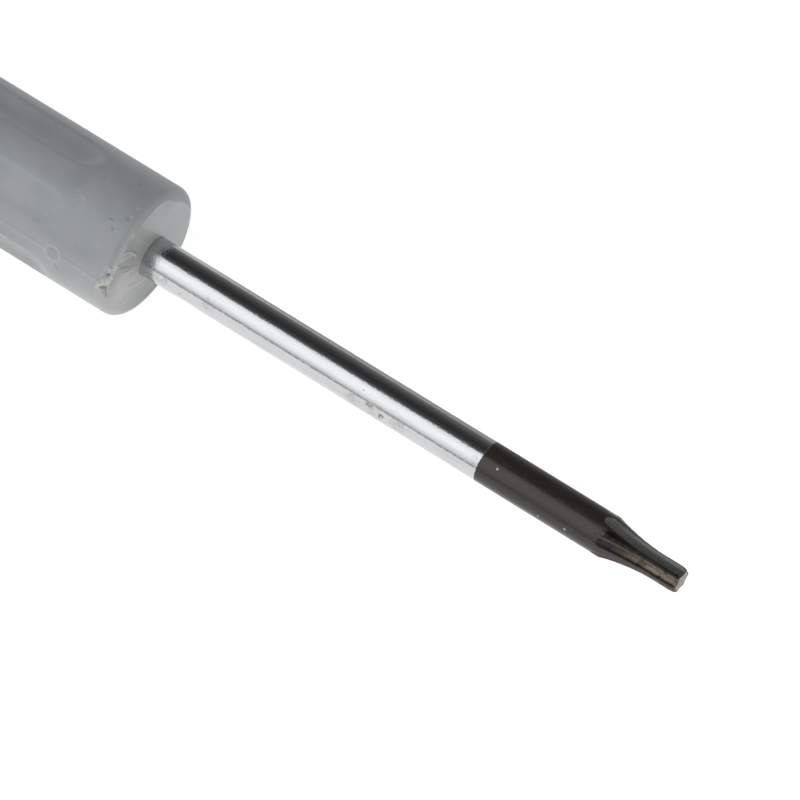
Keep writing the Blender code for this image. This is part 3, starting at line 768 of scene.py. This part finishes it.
def frontRelief(out, angle, places):
    # heights and tints of the moulding marks on the front end, in metres and shares
    radius = grip["radius"]
    degrees = np.degrees(angle)
    height = np.zeros(places.shape[:-1])
    pale = np.zeros_like(height)
    dark = np.zeros_like(height)
    shred = ripple(places, grip["shredSize"], 1)
    wander = ripple(places, grip["wanderSize"], 2)

    # parting lines on two opposite lands
    along = easeStep(out, *grip["ridgeFront"])
    for turn in (0.0, math.pi):
        off = offNearest(angle - turn - math.radians(grip["landAngle"]), 1, 0.0) * radius
        line = bell(off + 0.05 * mm * wander, grip["ridgeWidth"]) * along * (0.75 + 0.35 * wander)
        height += line * grip["ridgeHeight"]
        pale += grip["ridgePale"] * line
        # a painted shade line beside each ridge
        dark += 0.1 * bell(off - 0.26 * mm, 0.1 * mm) * along

    # flash squeezed out all round the crease of the face, thick near the parting line
    thick = easeStep(degrees, flashRing["thickFrom"] - 4.0, flashRing["thickFrom"] + 3.0)
    thick = thick * (1.0 - 0.75 * easeStep(degrees, flashRing["thickTo"] - 6.0, flashRing["thickTo"] + 6.0))
    thick = thick * (1.0 - easeStep(degrees, flashRing["fadeTo"] - 25.0, flashRing["fadeTo"]))
    offCrease = out - creasePlace(angle)
    drift = flashRing["wander"] * mm * wander
    bead = bell(offCrease + drift, flashRing["width"] * mm)
    tall = flashRing["thin"] + (flashRing["thick"] - flashRing["thin"]) * thick
    height += bead * tall * mm * np.clip(0.8 + 0.7 * shred, 0.1, None)
    skirt = bell(offCrease - flashRing["skirtPlace"] * mm + drift, flashRing["skirtWidth"] * mm)
    pale += skirt * thick * np.clip(0.6 + 0.6 * shred + 0.5 * wander, 0.0, 1.0)

    # pale band round the front
    rubbed = bell(out - upperPaleBand["place"] * mm, upperPaleBand["width"] * mm)
    rubbed = rubbed * easeStep(degrees, *upperPaleBand["starts"])
    rubbed = rubbed * (1.0 - easeStep(degrees, *upperPaleBand["ends"]))
    pale += upperPaleBand["pale"] * rubbed

    # torn flash and other lines, then the small round marks
    for points, width, rise, torn, light, soilAndShade in flashLines:
        route = np.array([frontSpot(*point) for point in points])
        near = distanceToLine(places, route) * (1.0 + torn * shred)
        ragged = np.clip(1.0 + torn * 1.5 * shred, 0.0, None)
        mask = bell(near + 0.06 * mm * wander, width * mm)
        height += mask * rise * mm * ragged
        pale += mask * light * np.clip(ragged, 0.3, 1.0)
        dark += mask * soilAndShade * np.clip(ragged, 0.3, 1.0)

    for away, turn, size, rise in gripMarks:
        spot = around(faceX - away * mm, radius, math.radians(turn))
        if away * mm < grip["frontFillet"]:
            spot = frontSpot(grip["filletMark"], turn)
        mask = bell(np.linalg.norm(places - spot, axis=-1) * (1.0 + 0.8 * shred), size * mm)
        height += mask * rise * mm
        # dents are painted darker by their depth, as shade
        dark += mask * min(max(-rise * 5.0, 0.0), 0.8)
        pale += mask * max(rise * 4.0, 0.0)

    # round gate mark on the side, sunk gate on the face
    spot = around(faceX - gateRing["behind"] * mm, radius, math.radians(gateRing["angle"]))
    away = np.linalg.norm(places - spot, axis=-1)
    rim = bell(away - gateRing["radius"] * mm, gateRing["width"] * mm)
    dish = 1.0 - easeStep(away, 0.5 * gateRing["radius"] * mm, gateRing["radius"] * mm)
    height += rim * gateRing["height"] * mm - dish * (gateRing["dish"] * mm + np.clip(height, 0.0, None))
    pale += 0.4 * rim * np.clip(0.9 + 0.7 * shred, 0.3, 1.0)
    # the sunk dish is painted darker, as shade
    dark += 0.12 * dish
    spot = frontSpot(gateNub["place"], gateNub["angle"])
    inward = frontSpot(gateNub["place"] - 1.0, gateNub["angle"]) - spot
    reach = ((places - spot) @ inward) / mm
    beside = np.linalg.norm(places - spot - (reach / mm)[..., None] * inward, axis=-1)
    oval = np.sqrt((reach / (gateNub["long"] * mm)) ** 2 + (beside / (gateNub["wide"] * mm)) ** 2)
    nub = 1.0 - easeStep(oval + 0.1 * wander, 0.6, 1.0)
    height -= nub * gateNub["height"] * mm
    # the sunk gate is painted darker, as shade
    dark += 0.06 * nub
    return height, np.clip(pale, 0.0, 1.0), np.clip(dark, 0.0, 1.0)


def gripColumns():
    # finer where the moulding marks are
    fine = np.arange(8.0, 80.0, 0.45)
    nearUp = np.arange(80.0, 155.0, 0.9)
    behind = np.arange(155.0, 330.0, 2.5)
    nearLow = np.arange(330.0, 368.0, 0.9)
    return np.radians(np.concatenate([fine, nearUp, behind, nearLow]))


def makeGrip(finish):
    angle = gripColumns()[None, :]
    full = grip["radius"]
    fillet = grip["frontFillet"]
    length = faceX - gripLow.x
    bore = full - grip["wall"]
    hole = blade["shankRadius"] + grip["holeGap"]
    quarter = fillet * math.pi / 2

    # front: flat face, fillet and side, in steps that follow the size of the marks
    rearStart = length - grip["rearFillet"]
    side = np.concatenate([
        np.arange(fillet, 4.4 * mm, 0.07 * mm),
        np.arange(4.4 * mm, 9.6 * mm, 0.1 * mm),
        np.arange(9.6 * mm, 15.0 * mm, 0.2 * mm),
        np.linspace(15.0 * mm, rearStart, 96),
    ])
    out = np.concatenate([
        np.linspace(hole - full + fillet, 0.0, 46, endpoint=False),
        np.linspace(0.0, quarter, 34, endpoint=False),
        quarter + side - fillet,
    ])[:, None]
    slope, behind, radius = frontProfile(out)
    radius = np.where(out < quarter, radius, skinRadius(behind, angle))
    places = around(faceX - behind, radius, angle)
    marked = int(np.searchsorted(out[:, 0], grip["markedLength"]))
    plain = ((0, len(out) - marked), (0, 0))
    marks = frontRelief(out[:marked], angle, places[:marked])
    relief, pale, dark = [np.pad(values, plain) for values in marks]
    relief -= grip["sag"] * (1.0 + ripple(places, grip["sagSize"], 4)) / 2
    shaped = domedFace(out, behind, radius, angle)
    rows = [around(faceX - shaped + relief * np.cos(slope), radius + relief * np.sin(slope), angle)]

    # rear rounding and the inside, with slots for the core's keys
    turns = np.linspace(0.0, math.pi / 2, 8)[1:, None]
    rear = grip["rearFillet"]
    last = skinRadius(np.array([[rearStart]]), angle)
    rearX = gripLow.x + rear * (1.0 - np.sin(turns))
    rows.append(around(rearX, last - rear * (1.0 - np.cos(turns)), angle))
    inner = np.array([length, *keyStops(grip["keyGap"]), grip["frontWall"]])[:, None]
    rows.append(around(faceX - inner, bore + keyLift(inner, angle, grip["keyGap"]), angle))
    rows.append(around(faceX - np.array([[grip["frontWall"]]]), hole, angle))
    rings = np.concatenate(rows)
    mesh = ringMesh("gripSkin", rings, closed=True)
    paintPoints(mesh, "pale", pale)
    paintPoints(mesh, "soilAndShade", dark)
    return addPiece("grip_skin", mesh, finish, "handle", "grip_sleeve", grip["sharpAngle"])


gripFinish = {
    "grey": (0.4, 0.414, 0.426),
    "deepGrey": (0.36, 0.376, 0.39),
    "flash": (0.56, 0.56, 0.54),
    # colour of dirt, and of the painted shade in dents, sunk lines and the corner under the blade
    "soilAndShade": (0.09, 0.09, 0.088),
    "bloom": (0.47, 0.475, 0.47),
    "gloss": (0.27, 0.34),  # roughness
    "cloudSize": 5.0 * mm,
    "smearSize": 1.3 * mm,
    "grainSize": 0.09 * mm,
}


def makeGripFinish():
    finish, shader = startFinish("gripGrey")
    look = gripFinish
    where = ownCoords(finish)
    broad = cloud(where, look["cloudSize"], 3.0, 0.5, 0.3)
    smear = cloud(stretched(where, (0.5, 1.0, 1.0)), look["smearSize"], 5.0, 0.65, 0.8)
    grain = cloud(where, look["grainSize"], 2.0, 0.6)
    base = tint(window(broad, 0.36, 0.64), look["deepGrey"], look["grey"])
    base = tint(window(smear, 0.54, 0.78, 0.0, 0.35), base, look["bloom"])
    base = tint(window(smear, 0.24, 0.44, 0.06, 0.0), base, look["soilAndShade"])
    base = tint(painted(finish, "pale"), base, look["flash"])
    # painted shade from the marks on the front end
    base = tint(painted(finish, "soilAndShade"), base, look["soilAndShade"])
    feed(shader.inputs["Base Color"], base)
    feed(shader.inputs["Roughness"], window(broad, 0.3, 0.7, *look["gloss"]))
    under = bumped(shader, grain, 0.05, 0.02 * mm)
    bumped(shader, smear, 0.03, 0.03 * mm, under)
    return finish


# core: holds the tang, carries the keys, the hexagon and the spigot for the cap

core = {
    "radius": 5.0 * mm,
    "frontGap": 2.5 * mm,  # its front end behind the handle's face
    "tangGap": 0.1 * mm,
    "hexLength": 6.0 * mm,
    "hexEdge": 0.45 * mm,
    "hexPower": 36.0,
    "spigotRadius": 4.8 * mm,
    "spigotLength": 2.0 * mm,
    "recessRadius": 4.1 * mm,
    "recessDepth": 0.4 * mm,
    "screwHole": 1.2 * mm,
    "screwDepth": 9.0 * mm,
    "softEdge": 0.15 * mm,
    "rowStep": 1.5 * mm,
    "columns": 288,
    "sharpAngle": 35.0,
}


def makeCore(finish):
    # the section runs from the bottom of the tang's bore round the outside to the bottom of the screw hole
    front = faceX - core["frontGap"]
    rear = coreLow.x
    hexRear = rear + core["spigotLength"]
    hexFront = hexRear + core["hexLength"]
    bore = blade["shankRadius"] + core["tangGap"]
    soft = core["softEdge"]
    flat = (coreHigh.z - coreLow.z) / 2
    edge = core["hexEdge"]
    floor = rear + core["recessDepth"]
    section = filleted([
        (bladeLow.x - core["tangGap"], bore, 0.0),
        (front, bore, 0.0),
        (front, core["radius"], soft),
        (hexFront, core["radius"], 0.0),
        (hexFront, flat, edge),
        (hexRear, flat, edge),
        (hexRear, core["spigotRadius"], 0.0),
        (rear, core["spigotRadius"], soft),
        (rear, core["recessRadius"], 0.0),
        (floor, core["recessRadius"], 0.0),
        (floor, core["screwHole"], 0.0),
        (floor + core["screwDepth"], core["screwHole"], 0.0),
    ])
    section = spreadRuns(section, core["rowStep"], closed=False)
    outer = section[:, 1] > bore + 0.01 * mm
    rows = [tuple(point) for point in section]
    rows += [(faceX - stop, core["radius"]) for stop in keyStops(0.0)]
    start = int(np.argmax(outer))
    side = [row for row in rows[start:] if abs(row[1] - core["radius"]) < 1e-9 and row[0] > hexFront]
    side = sorted(side, reverse=True)
    others = [row for row in rows[start:len(section)] if row not in side]
    lead = [row for row in others if row[0] > side[0][0]]
    tail = others[len(lead):]
    rows = np.array(rows[:start] + lead + side + tail)
    x = rows[:, :1]
    angle = allRound(core["columns"])[None, :]
    share = np.clip((rows[:, 1:] - core["radius"]) / (flat - core["radius"]), 0.0, 1.0)
    inHex = (x < hexFront + 1e-7) & (x > hexRear - 1e-7) & (rows[:, 1:] > core["spigotRadius"] + 1e-7)
    power = core["hexPower"]
    spread = sum(np.abs(np.cos(angle - math.pi / 2 - k * math.pi / 3)) ** power for k in range(6))
    hexRatio = (spread / 2.0) ** (-1.0 / power)
    ratio = np.where(inHex, 1.0 + (hexRatio - 1.0) * easeStep(share, 0.0, 0.6), 1.0)
    onSide = np.abs(rows[:, 1:] - core["radius"]) < 1e-9
    lift = np.where(onSide & (x > hexFront), keyLift(faceX - x, angle, 0.0), 0.0)
    mesh = ringMesh("coreBody", around(x, rows[:, 1:] * ratio + lift, angle))
    onEdge = inHex & (np.abs(share - 0.93) < 0.06)
    paintPoints(mesh, "edge", onEdge, (len(rows), core["columns"]))
    return addPiece("core_moulding", mesh, finish, "handle", "handle_core", core["sharpAngle"])


# swivel cap: turns on its bearing, grooved for the fingertips

cap = {
    "edge": 1.0 * mm,
    "frontEdge": 0.3 * mm,
    "innerEdge": 0.1 * mm,
    "discGap": 0.1 * mm,
    "skirtRadius": 5.1 * mm,
    "skirtDepth": 1.9 * mm,
    "raceSeat": 4.1 * mm,
    "raceSeatDepth": 4.68 * mm,
    "screwBore": 1.51 * mm,
    "web": 3.0 * mm,
    "counterbore": 3.2 * mm,
    "grooves": 12,
    "grooveRadius": 1.2 * mm,
    "grooveDepth": 0.35 * mm,
    "grooveMargin": 2.0 * mm,
    "grooveEdge": 0.12 * mm,
    "rowStep": 0.3 * mm,
    "columns": 288,
    "sharpAngle": 35.0,
}


def capGroove(behind, angle, radius):
    # grooves start in a round end behind the front rim and run out over the rear edge
    cutter = cap["grooveRadius"]
    before = np.clip(cap["grooveMargin"] + cutter - behind, 0.0, None)
    centre = (capHigh.z - capLow.z) / 2 - cap["grooveDepth"] + cutter
    off = offNearest(angle, cap["grooves"], math.radians(90.0) + math.pi / cap["grooves"])
    hollow = grooveFloor(off, centre, cutter, before, 2 * radius)
    return softMin(radius + 0.0 * off, hollow, cap["grooveEdge"])


def makeCap(finish):
    front = capHigh.x
    rear = capLow.x
    full = (capHigh.z - capLow.z) / 2
    discSeat = (discHigh.z - discLow.z) / 2 + cap["discGap"]
    discFloor = discHigh.x + cap["discGap"]
    shoulder = front - cap["raceSeatDepth"]
    webRear = shoulder - cap["web"]
    section = filleted([
        (front, full, cap["frontEdge"]),
        (rear, full, cap["edge"]),
        (rear, discSeat, cap["innerEdge"]),
        (discFloor, discSeat, 0.0),
        (discFloor, cap["counterbore"], 0.0),
        (webRear, cap["counterbore"], 0.0),
        (webRear, cap["screwBore"], 0.0),
        (shoulder, cap["screwBore"], 0.0),
        (shoulder, cap["raceSeat"], 0.0),
        (front - cap["skirtDepth"], cap["raceSeat"], 0.0),
        (front - cap["skirtDepth"], cap["skirtRadius"], 0.0),
        (front, cap["skirtRadius"], cap["innerEdge"]),
    ], steps=10)
    section = spreadRuns(section, cap["rowStep"], closed=True)
    angle = allRound(cap["columns"])[None, :]
    x = section[:, :1]
    radius = section[:, 1:]
    outside = radius > discSeat + 0.2 * mm
    grooved = np.where(outside, capGroove(front - x, angle, radius), radius + 0.0 * angle)
    mesh = ringMesh("capBody", around(x, grooved, angle), closed=True)
    onEdge = outside & (np.abs(radius - full + 0.3 * cap["edge"]) < 0.2 * cap["edge"])
    onEdge = onEdge & (x < rear + cap["edge"])
    paintPoints(mesh, "edge", onEdge, (len(section), cap["columns"]))
    return addPiece("swivel_cap_moulding", mesh, finish, "cap", "swivel_cap", cap["sharpAngle"])


# cap disc: a slightly dished plug for the index finger

disc = {
    "edge": 0.25 * mm,
    "innerEdge": 0.08 * mm,
    "hubRadius": 0.02 * mm,  # where the rows end at the middle
    "rowStep": 0.12 * mm,
    "dish": 0.18 * mm,
    "dishRadius": 4.2 * mm,
    "gateRadius": 0.55 * mm,
    "gateDepth": 0.09 * mm,
    "columns": 160,
    "sharpAngle": 35.0,
}


def makeDisc(finish):
    full = (discHigh.z - discLow.z) / 2
    rim = filleted([
        (discHigh.x, disc["hubRadius"], 0.0),
        (discHigh.x, full, disc["innerEdge"]),
        (discLow.x, full, disc["edge"]),
        (discLow.x, disc["hubRadius"], 0.0),
    ])
    section = spreadRuns(rim, disc["rowStep"], closed=False)
    radius = section[:, 1:]
    onTop = section[:, :1] < discLow.x + 1e-7
    sunk = disc["dish"] * np.clip(1.0 - (radius / disc["dishRadius"]) ** 2, 0.0, None) ** 1.3
    sunk = sunk + disc["gateDepth"] * (1.0 - easeStep(radius, 0.7 * disc["gateRadius"], disc["gateRadius"]))
    x = section[:, :1] + np.where(onTop, sunk, 0.0)
    angle = allRound(disc["columns"])[None, :]
    mesh = ringMesh("discBody", around(x, radius, angle))
    onEdge = np.abs(radius - full + 0.5 * disc["edge"]) < 0.5 * disc["edge"]
    onEdge = onEdge & (section[:, :1] < discLow.x + disc["edge"])
    paintPoints(mesh, "edge", onEdge, (len(section), disc["columns"]))
    return addPiece("cap_disc_plug", mesh, finish, "cap", "cap_disc", disc["sharpAngle"])


# finish of the hard mouldings: fine grain, a little haze, pale rubbed edges

mouldings = {
    "coreCharcoal": {"colour": (0.045, 0.047, 0.05), "haze": (0.06, 0.062, 0.065),
                     "rubbed": (0.16, 0.16, 0.16), "gloss": (0.36, 0.5)},
    "capCharcoal": {"colour": (0.05, 0.052, 0.055), "haze": (0.064, 0.066, 0.07),
                    "rubbed": (0.17, 0.17, 0.17), "gloss": (0.34, 0.48)},
    "discGrey": {"colour": (0.31, 0.322, 0.33), "haze": (0.345, 0.355, 0.36),
                 "rubbed": (0.46, 0.46, 0.45), "gloss": (0.38, 0.52)},
}


def makeMouldedFinish(name):
    finish, shader = startFinish(name)
    look = mouldings[name]
    where = ownCoords(finish)
    grain = cloud(where, 0.11 * mm, 3.0, 0.6)
    broad = cloud(where, 3.5 * mm, 4.0, 0.6, 0.5)
    scuff = cloud(stretched(where, (1.0, 0.3, 1.0)), 0.6 * mm, 4.0, 0.7, 0.5)
    base = tint(window(broad, 0.35, 0.7), look["colour"], look["haze"])
    wear = calc("MULTIPLY", painted(finish, "edge"), window(scuff, 0.38, 0.62, 0.15, 0.8))
    wear = calc("MAXIMUM", wear, window(scuff, 0.66, 0.8, 0.0, 0.35))
    feed(shader.inputs["Base Color"], tint(wear, base, look["rubbed"]))
    feed(shader.inputs["Roughness"], window(broad, 0.3, 0.7, *look["gloss"]))
    under = bumped(shader, grain, 0.3, 0.02 * mm)
    bumped(shader, scuff, 0.12, 0.02 * mm, under)
    return finish


makeBlade(makeBladeFinish())
makeGrip(makeGripFinish())
makeCore(makeMouldedFinish("coreCharcoal"))
makeCap(makeMouldedFinish("capCharcoal"))
makeDisc(makeMouldedFinish("discGrey"))
print("pieces built")


# finishes of the pieces inside the cap, which keep their own solids

metals = {
    "ballSteel": {"bright": (0.62, 0.62, 0.63), "dull": (0.56, 0.56, 0.57), "gloss": (0.06, 0.14),
                  "lines": (1.0, 1.0, 1.0), "nodes": [f"ball_{number}" for number in range(1, 7)]},
    "raceSteel": {"bright": (0.56, 0.56, 0.57), "dull": (0.48, 0.48, 0.49), "gloss": (0.18, 0.32),
                  "lines": (1.0, 0.2, 0.2), "nodes": ["lower_race", "upper_race"]},
    "zincPlate": {"bright": (0.55, 0.56, 0.58), "dull": (0.45, 0.45, 0.44), "gloss": (0.28, 0.45),
                  "lines": (0.4, 1.0, 1.0), "nodes": ["cap_screw", "head_washer"]},
    "cageBrass": {"bright": (0.62, 0.46, 0.2), "dull": (0.45, 0.31, 0.13), "gloss": (0.25, 0.42),
                  "lines": (1.0, 0.3, 0.3), "nodes": ["ball_cage"]},
}


def dressInner(name):
    finish, shader = startFinish(name)
    look = metals[name]
    where = ownCoords(finish)
    blotch = cloud(where, 0.8 * mm, 4.0, 0.6, 0.3)
    ground = cloud(stretched(where, look["lines"]), 0.12 * mm, 3.0, 0.6)
    base = tint(window(blotch, 0.35, 0.7), look["bright"], look["dull"])
    feed(shader.inputs["Base Color"], base)
    feed(shader.inputs["Roughness"], window(ground, 0.3, 0.7, *look["gloss"]))
    shader.inputs["Metallic"].default_value = 1.0
    bumped(shader, ground, 0.15, 0.01 * mm)
    for node in look["nodes"]:
        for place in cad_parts[node].material_slots:
            place.link = "OBJECT"
            place.material = finish


for name in metals:
    dressInner(name)
print("inner pieces dressed")


# stage: a glowing white table, and a curved light screen along the tool with a dark flag above

stage = {
    "floorHalf": 3.0,
    "floorGlow": 0.87,
    "tableTint": (1.0, 0.94, 0.83),  # of its light on matt surfaces, on the near side
    "farTint": (0.94, 1.0, 0.985),
    "tintChange": (-5.0 * mm, 5.0 * mm),
    "floorWhite": 0.4,
    "sideGlow": 0.38,  # the table's light on matt surfaces, beside the handle
    "frontGlow": 0.01,  # and under the blade
    "frontStart": (-2.0 * mm, 1.0 * mm),  # from the handle's face
    "frontNear": (-14.0 * mm, -5.0 * mm),
    "frontFar": (3.0 * mm, 9.0 * mm),
    "screenRadius": 0.8,
    "screenRear": -0.9,
    "screenFront": 0.12,
    "screenTint": (0.97, 0.985, 1.0),
    "skyTint": (0.93, 0.97, 1.0),
    "screenSoft": 1.04,  # share of the screen's light that matt surfaces get
    "softLift": 0.175,  # and what they get from all of it, the flag too
    "tableCards": [  # reflections alone see these: name, corners from the handle's face, strength
        ("rimCard", (-900.0 * mm, 12.0 * mm), (0.0 * mm, 800.0 * mm), 0.65),
        ("farCard", (0.0 * mm, 12.0 * mm), (103.0 * mm, 800.0 * mm), 0.4),
        ("bounceCard", (2.4 * mm, -3.0 * mm), (4.6 * mm, 1.0 * mm), 1.35),
    ],
    "cardLift": 0.2 * mm,
    "frontCard": 0.1,
    "frontCardEnd": 0.45,
    "tableGlows": [  # brighter patches of the table: corners from the handle's face, strength
        ((7.0 * mm, 3.0 * mm), (70.0 * mm, 10.0 * mm), 3.7),
        ((5.0 * mm, -25.0 * mm), (15.0 * mm, -9.0 * mm), 5.4),
        ((10.0 * mm, 12.0 * mm), (80.0 * mm, 80.0 * mm), 1.4),
    ],
    "glowEdge": 1.0 * mm,
    "skyLight": 0.36,
}
# brightness of the screen by its angle above the near horizon
screenGlow = [
    (0.6, 0.25), (5.0, 0.3), (7.0, 0.7), (11.0, 0.82), (22.0, 1.17), (33.0, 1.38), (45.0, 1.5), (64.0, 1.5),
    (75.0, 1.33), (82.5, 1.22), (83.5, 0.26), (90.0, 0.14), (96.0, 0.075), (117.0, 0.036), (142.0, 0.075),
    (156.0, 0.13), (172.0, 0.2), (179.0, 0.28), (180.4, 0.3),
]


def whiteShare(owner):
    # 1 for rays that should see the white background as it is
    path = owner.node_tree.nodes.new("ShaderNodeLightPath")
    kinds = ("Is Camera Ray", "Is Glossy Ray", "Is Transmission Ray")
    return calc("MAXIMUM", *[path.outputs[kind] for kind in kinds])


def addStage(name, sheet, finish):
    points, faces = sheet
    mesh = bpy.data.meshes.new(name)
    mesh.from_pydata(points, [], faces)
    mesh.materials.append(finish)
    thing = bpy.data.objects.new(name, mesh)
    bpy.context.scene.collection.objects.link(thing)
    return thing


def flatSheet(low, high, z):
    corners = [(low[0], low[1]), (high[0], low[1]), (high[0], high[1]), (low[0], high[1])]
    return [(x, y, z) for x, y in corners], [(0, 1, 2, 3)]


def curvedSheet(rear, front, degrees):
    # bent round the tool's axis
    ends = np.array([[rear], [front]])
    points = around(ends, stage["screenRadius"], np.radians(degrees)[None, :])
    count = len(degrees)
    faces = [(i, i + 1, count + i + 1, count + i) for i in range(count - 1)]
    return points.reshape(-1, 3).tolist(), faces


def startGlow(name):
    finish, shader = startFinish(name)
    nodes = finish.node_tree.nodes
    nodes.remove(shader)
    glow = nodes.new("ShaderNodeEmission")
    feed(nodes["Material Output"].inputs["Surface"], glow.outputs[0])
    return finish, glow


def tablePatch(places, nearCorner, farCorner):
    # 1 inside a rectangle of the table, with soft edges
    soft = stage["glowEdge"]
    shares = []
    for place, start, low, high in zip(places, (faceX, 0.0), nearCorner, farCorner):
        shares.append(window(place, start + low - soft, start + low + soft))
        shares.append(window(place, start + high - soft, start + high + soft, 1.0, 0.0))
    return calc("MULTIPLY", *shares)


def makeFloor():
    finish, glow = startGlow("floorWhite")
    seen = whiteShare(finish)
    along, across = splitCoords(ownCoords(finish))[:2]
    mattTint = tint(window(across, *stage["tintChange"]), stage["tableTint"], stage["farTint"])
    feed(glow.inputs["Color"], tint(seen, mattTint, (1.0, 1.0, 1.0)))
    start, full = stage["frontStart"]
    ahead = window(along, faceX + start, faceX + full)
    under = calc("MULTIPLY", window(across, *stage["frontNear"]),
                 window(across, *stage["frontFar"], 1.0, 0.0))
    shade = calc("MULTIPLY", ahead, under)
    matt = window(shade, 0.0, 1.0, stage["sideGlow"], stage["frontGlow"])
    for nearCorner, farCorner, strength in stage["tableGlows"]:
        matt = blend(tablePatch((along, across), nearCorner, farCorner), matt, strength)
    feed(glow.inputs["Strength"], blend(seen, matt, stage["floorGlow"]))
    white = addNode(glow, "BsdfDiffuse", {"Color": (stage["floorWhite"],) * 3 + (1.0,)})
    both = addNode(glow, "AddShader", {0: glow.outputs[0], 1: white.outputs[0]})
    feed(finish.node_tree.nodes["Material Output"].inputs["Surface"], both.outputs[0])
    half = stage["floorHalf"]
    return addStage("floor", flatSheet((-half, -half), (half, half), cadLow.z), finish)


def makeScreen():
    finish, glow = startGlow("screenGlow")
    seen = whiteShare(finish)
    feed(glow.inputs["Color"], tint(seen, stage["skyTint"], stage["screenTint"]))
    level = window(seen, 0.0, 1.0, stage["screenSoft"], 1.0)
    lift = window(seen, 0.0, 1.0, stage["softLift"], 0.0)
    level = calc("ADD", calc("MULTIPLY", painted(finish, "glow"), level), lift)
    feed(glow.inputs["Strength"], level)
    stops = np.array(screenGlow)
    degrees = np.concatenate([
        np.arange(stops[0, 0], 82.0, 1.0),
        np.arange(82.0, 84.0, 0.25),  # the flag starts with a sharp edge
        np.arange(84.0, 180.0, 1.0),
        stops[-1:, 0],
    ])
    sheet = curvedSheet(stage["screenRear"], stage["screenFront"], degrees)
    screen = addStage("lightScreen", sheet, finish)
    glowing = np.interp(degrees, stops[:, 0], stops[:, 1])
    paintPoints(screen.data, "glow", np.concatenate([glowing, glowing]))
    screen.visible_camera = False
    return screen


def makeCard(name, sheet, strength):
    # a card that only reflections see
    finish, glow = startGlow(name)
    glow.inputs["Strength"].default_value = strength
    card = addStage(name, sheet, finish)
    card.visible_camera = False
    card.visible_diffuse = False
    card.visible_shadow = False
    card.visible_transmission = False
    return card


def makeTableCard(name, nearCorner, farCorner, strength):
    # lies just above the table
    low = (faceX + nearCorner[0], nearCorner[1])
    high = (faceX + farCorner[0], farCorner[1])
    return makeCard(name, flatSheet(low, high, cadLow.z + stage["cardLift"]), strength)


def makeFrontCard():
    # dark, round the camera, from the screen's front end onwards
    sheet = curvedSheet(stage["screenFront"], stage["frontCardEnd"], np.arange(1.0, 180.0, 4.0))
    return makeCard("frontCard", sheet, stage["frontCard"])


def makeWorld():
    world = bpy.data.worlds.new("studioWhite")
    world.use_nodes = True
    bpy.context.scene.world = world
    background = world.node_tree.nodes["Background"]
    background.inputs["Color"].default_value = (1.0, 1.0, 1.0, 1.0)
    level = window(whiteShare(world), 0.0, 1.0, stage["skyLight"], 1.0)
    feed(background.inputs["Strength"], level)


makeFloor()
makeScreen()
for card in stage["tableCards"]:
    makeTableCard(*card)
makeFrontCard()
makeWorld()
print("stage set")


# camera at the photograph's viewing angle

view = {
    "azimuth": 35.559,
    "elevation": 59.306,
    "distance": 629.18 * mm,
    "lens": 282.64,
    "sensor": 36.0,
    "nearest": 0.01,
    "farthest": 20.0,
    "aimAhead": 30.33 * mm,  # aim point in front of the handle's face
    "aimSide": 0.778 * mm,
}


def makeCamera():
    azimuth = math.radians(view["azimuth"])
    elevation = math.radians(view["elevation"])
    flat = math.cos(elevation)
    back = Vector((math.sin(azimuth) * flat, -math.cos(azimuth) * flat, math.sin(elevation)))
    lens = bpy.data.cameras.new("camera")
    lens.lens = view["lens"]
    lens.sensor_width = view["sensor"]
    lens.clip_start = view["nearest"]
    lens.clip_end = view["farthest"]
    camera = bpy.data.objects.new("camera", lens)
    bpy.context.scene.collection.objects.link(camera)
    camera.location = Vector((faceX + view["aimAhead"], view["aimSide"], axisZ)) + back * view["distance"]
    camera.rotation_euler = back.to_track_quat("Z", "Y").to_euler()
    bpy.context.scene.camera = camera


makeCamera()
bpy.context.scene.view_settings.view_transform = "Standard"
print("camera placed")
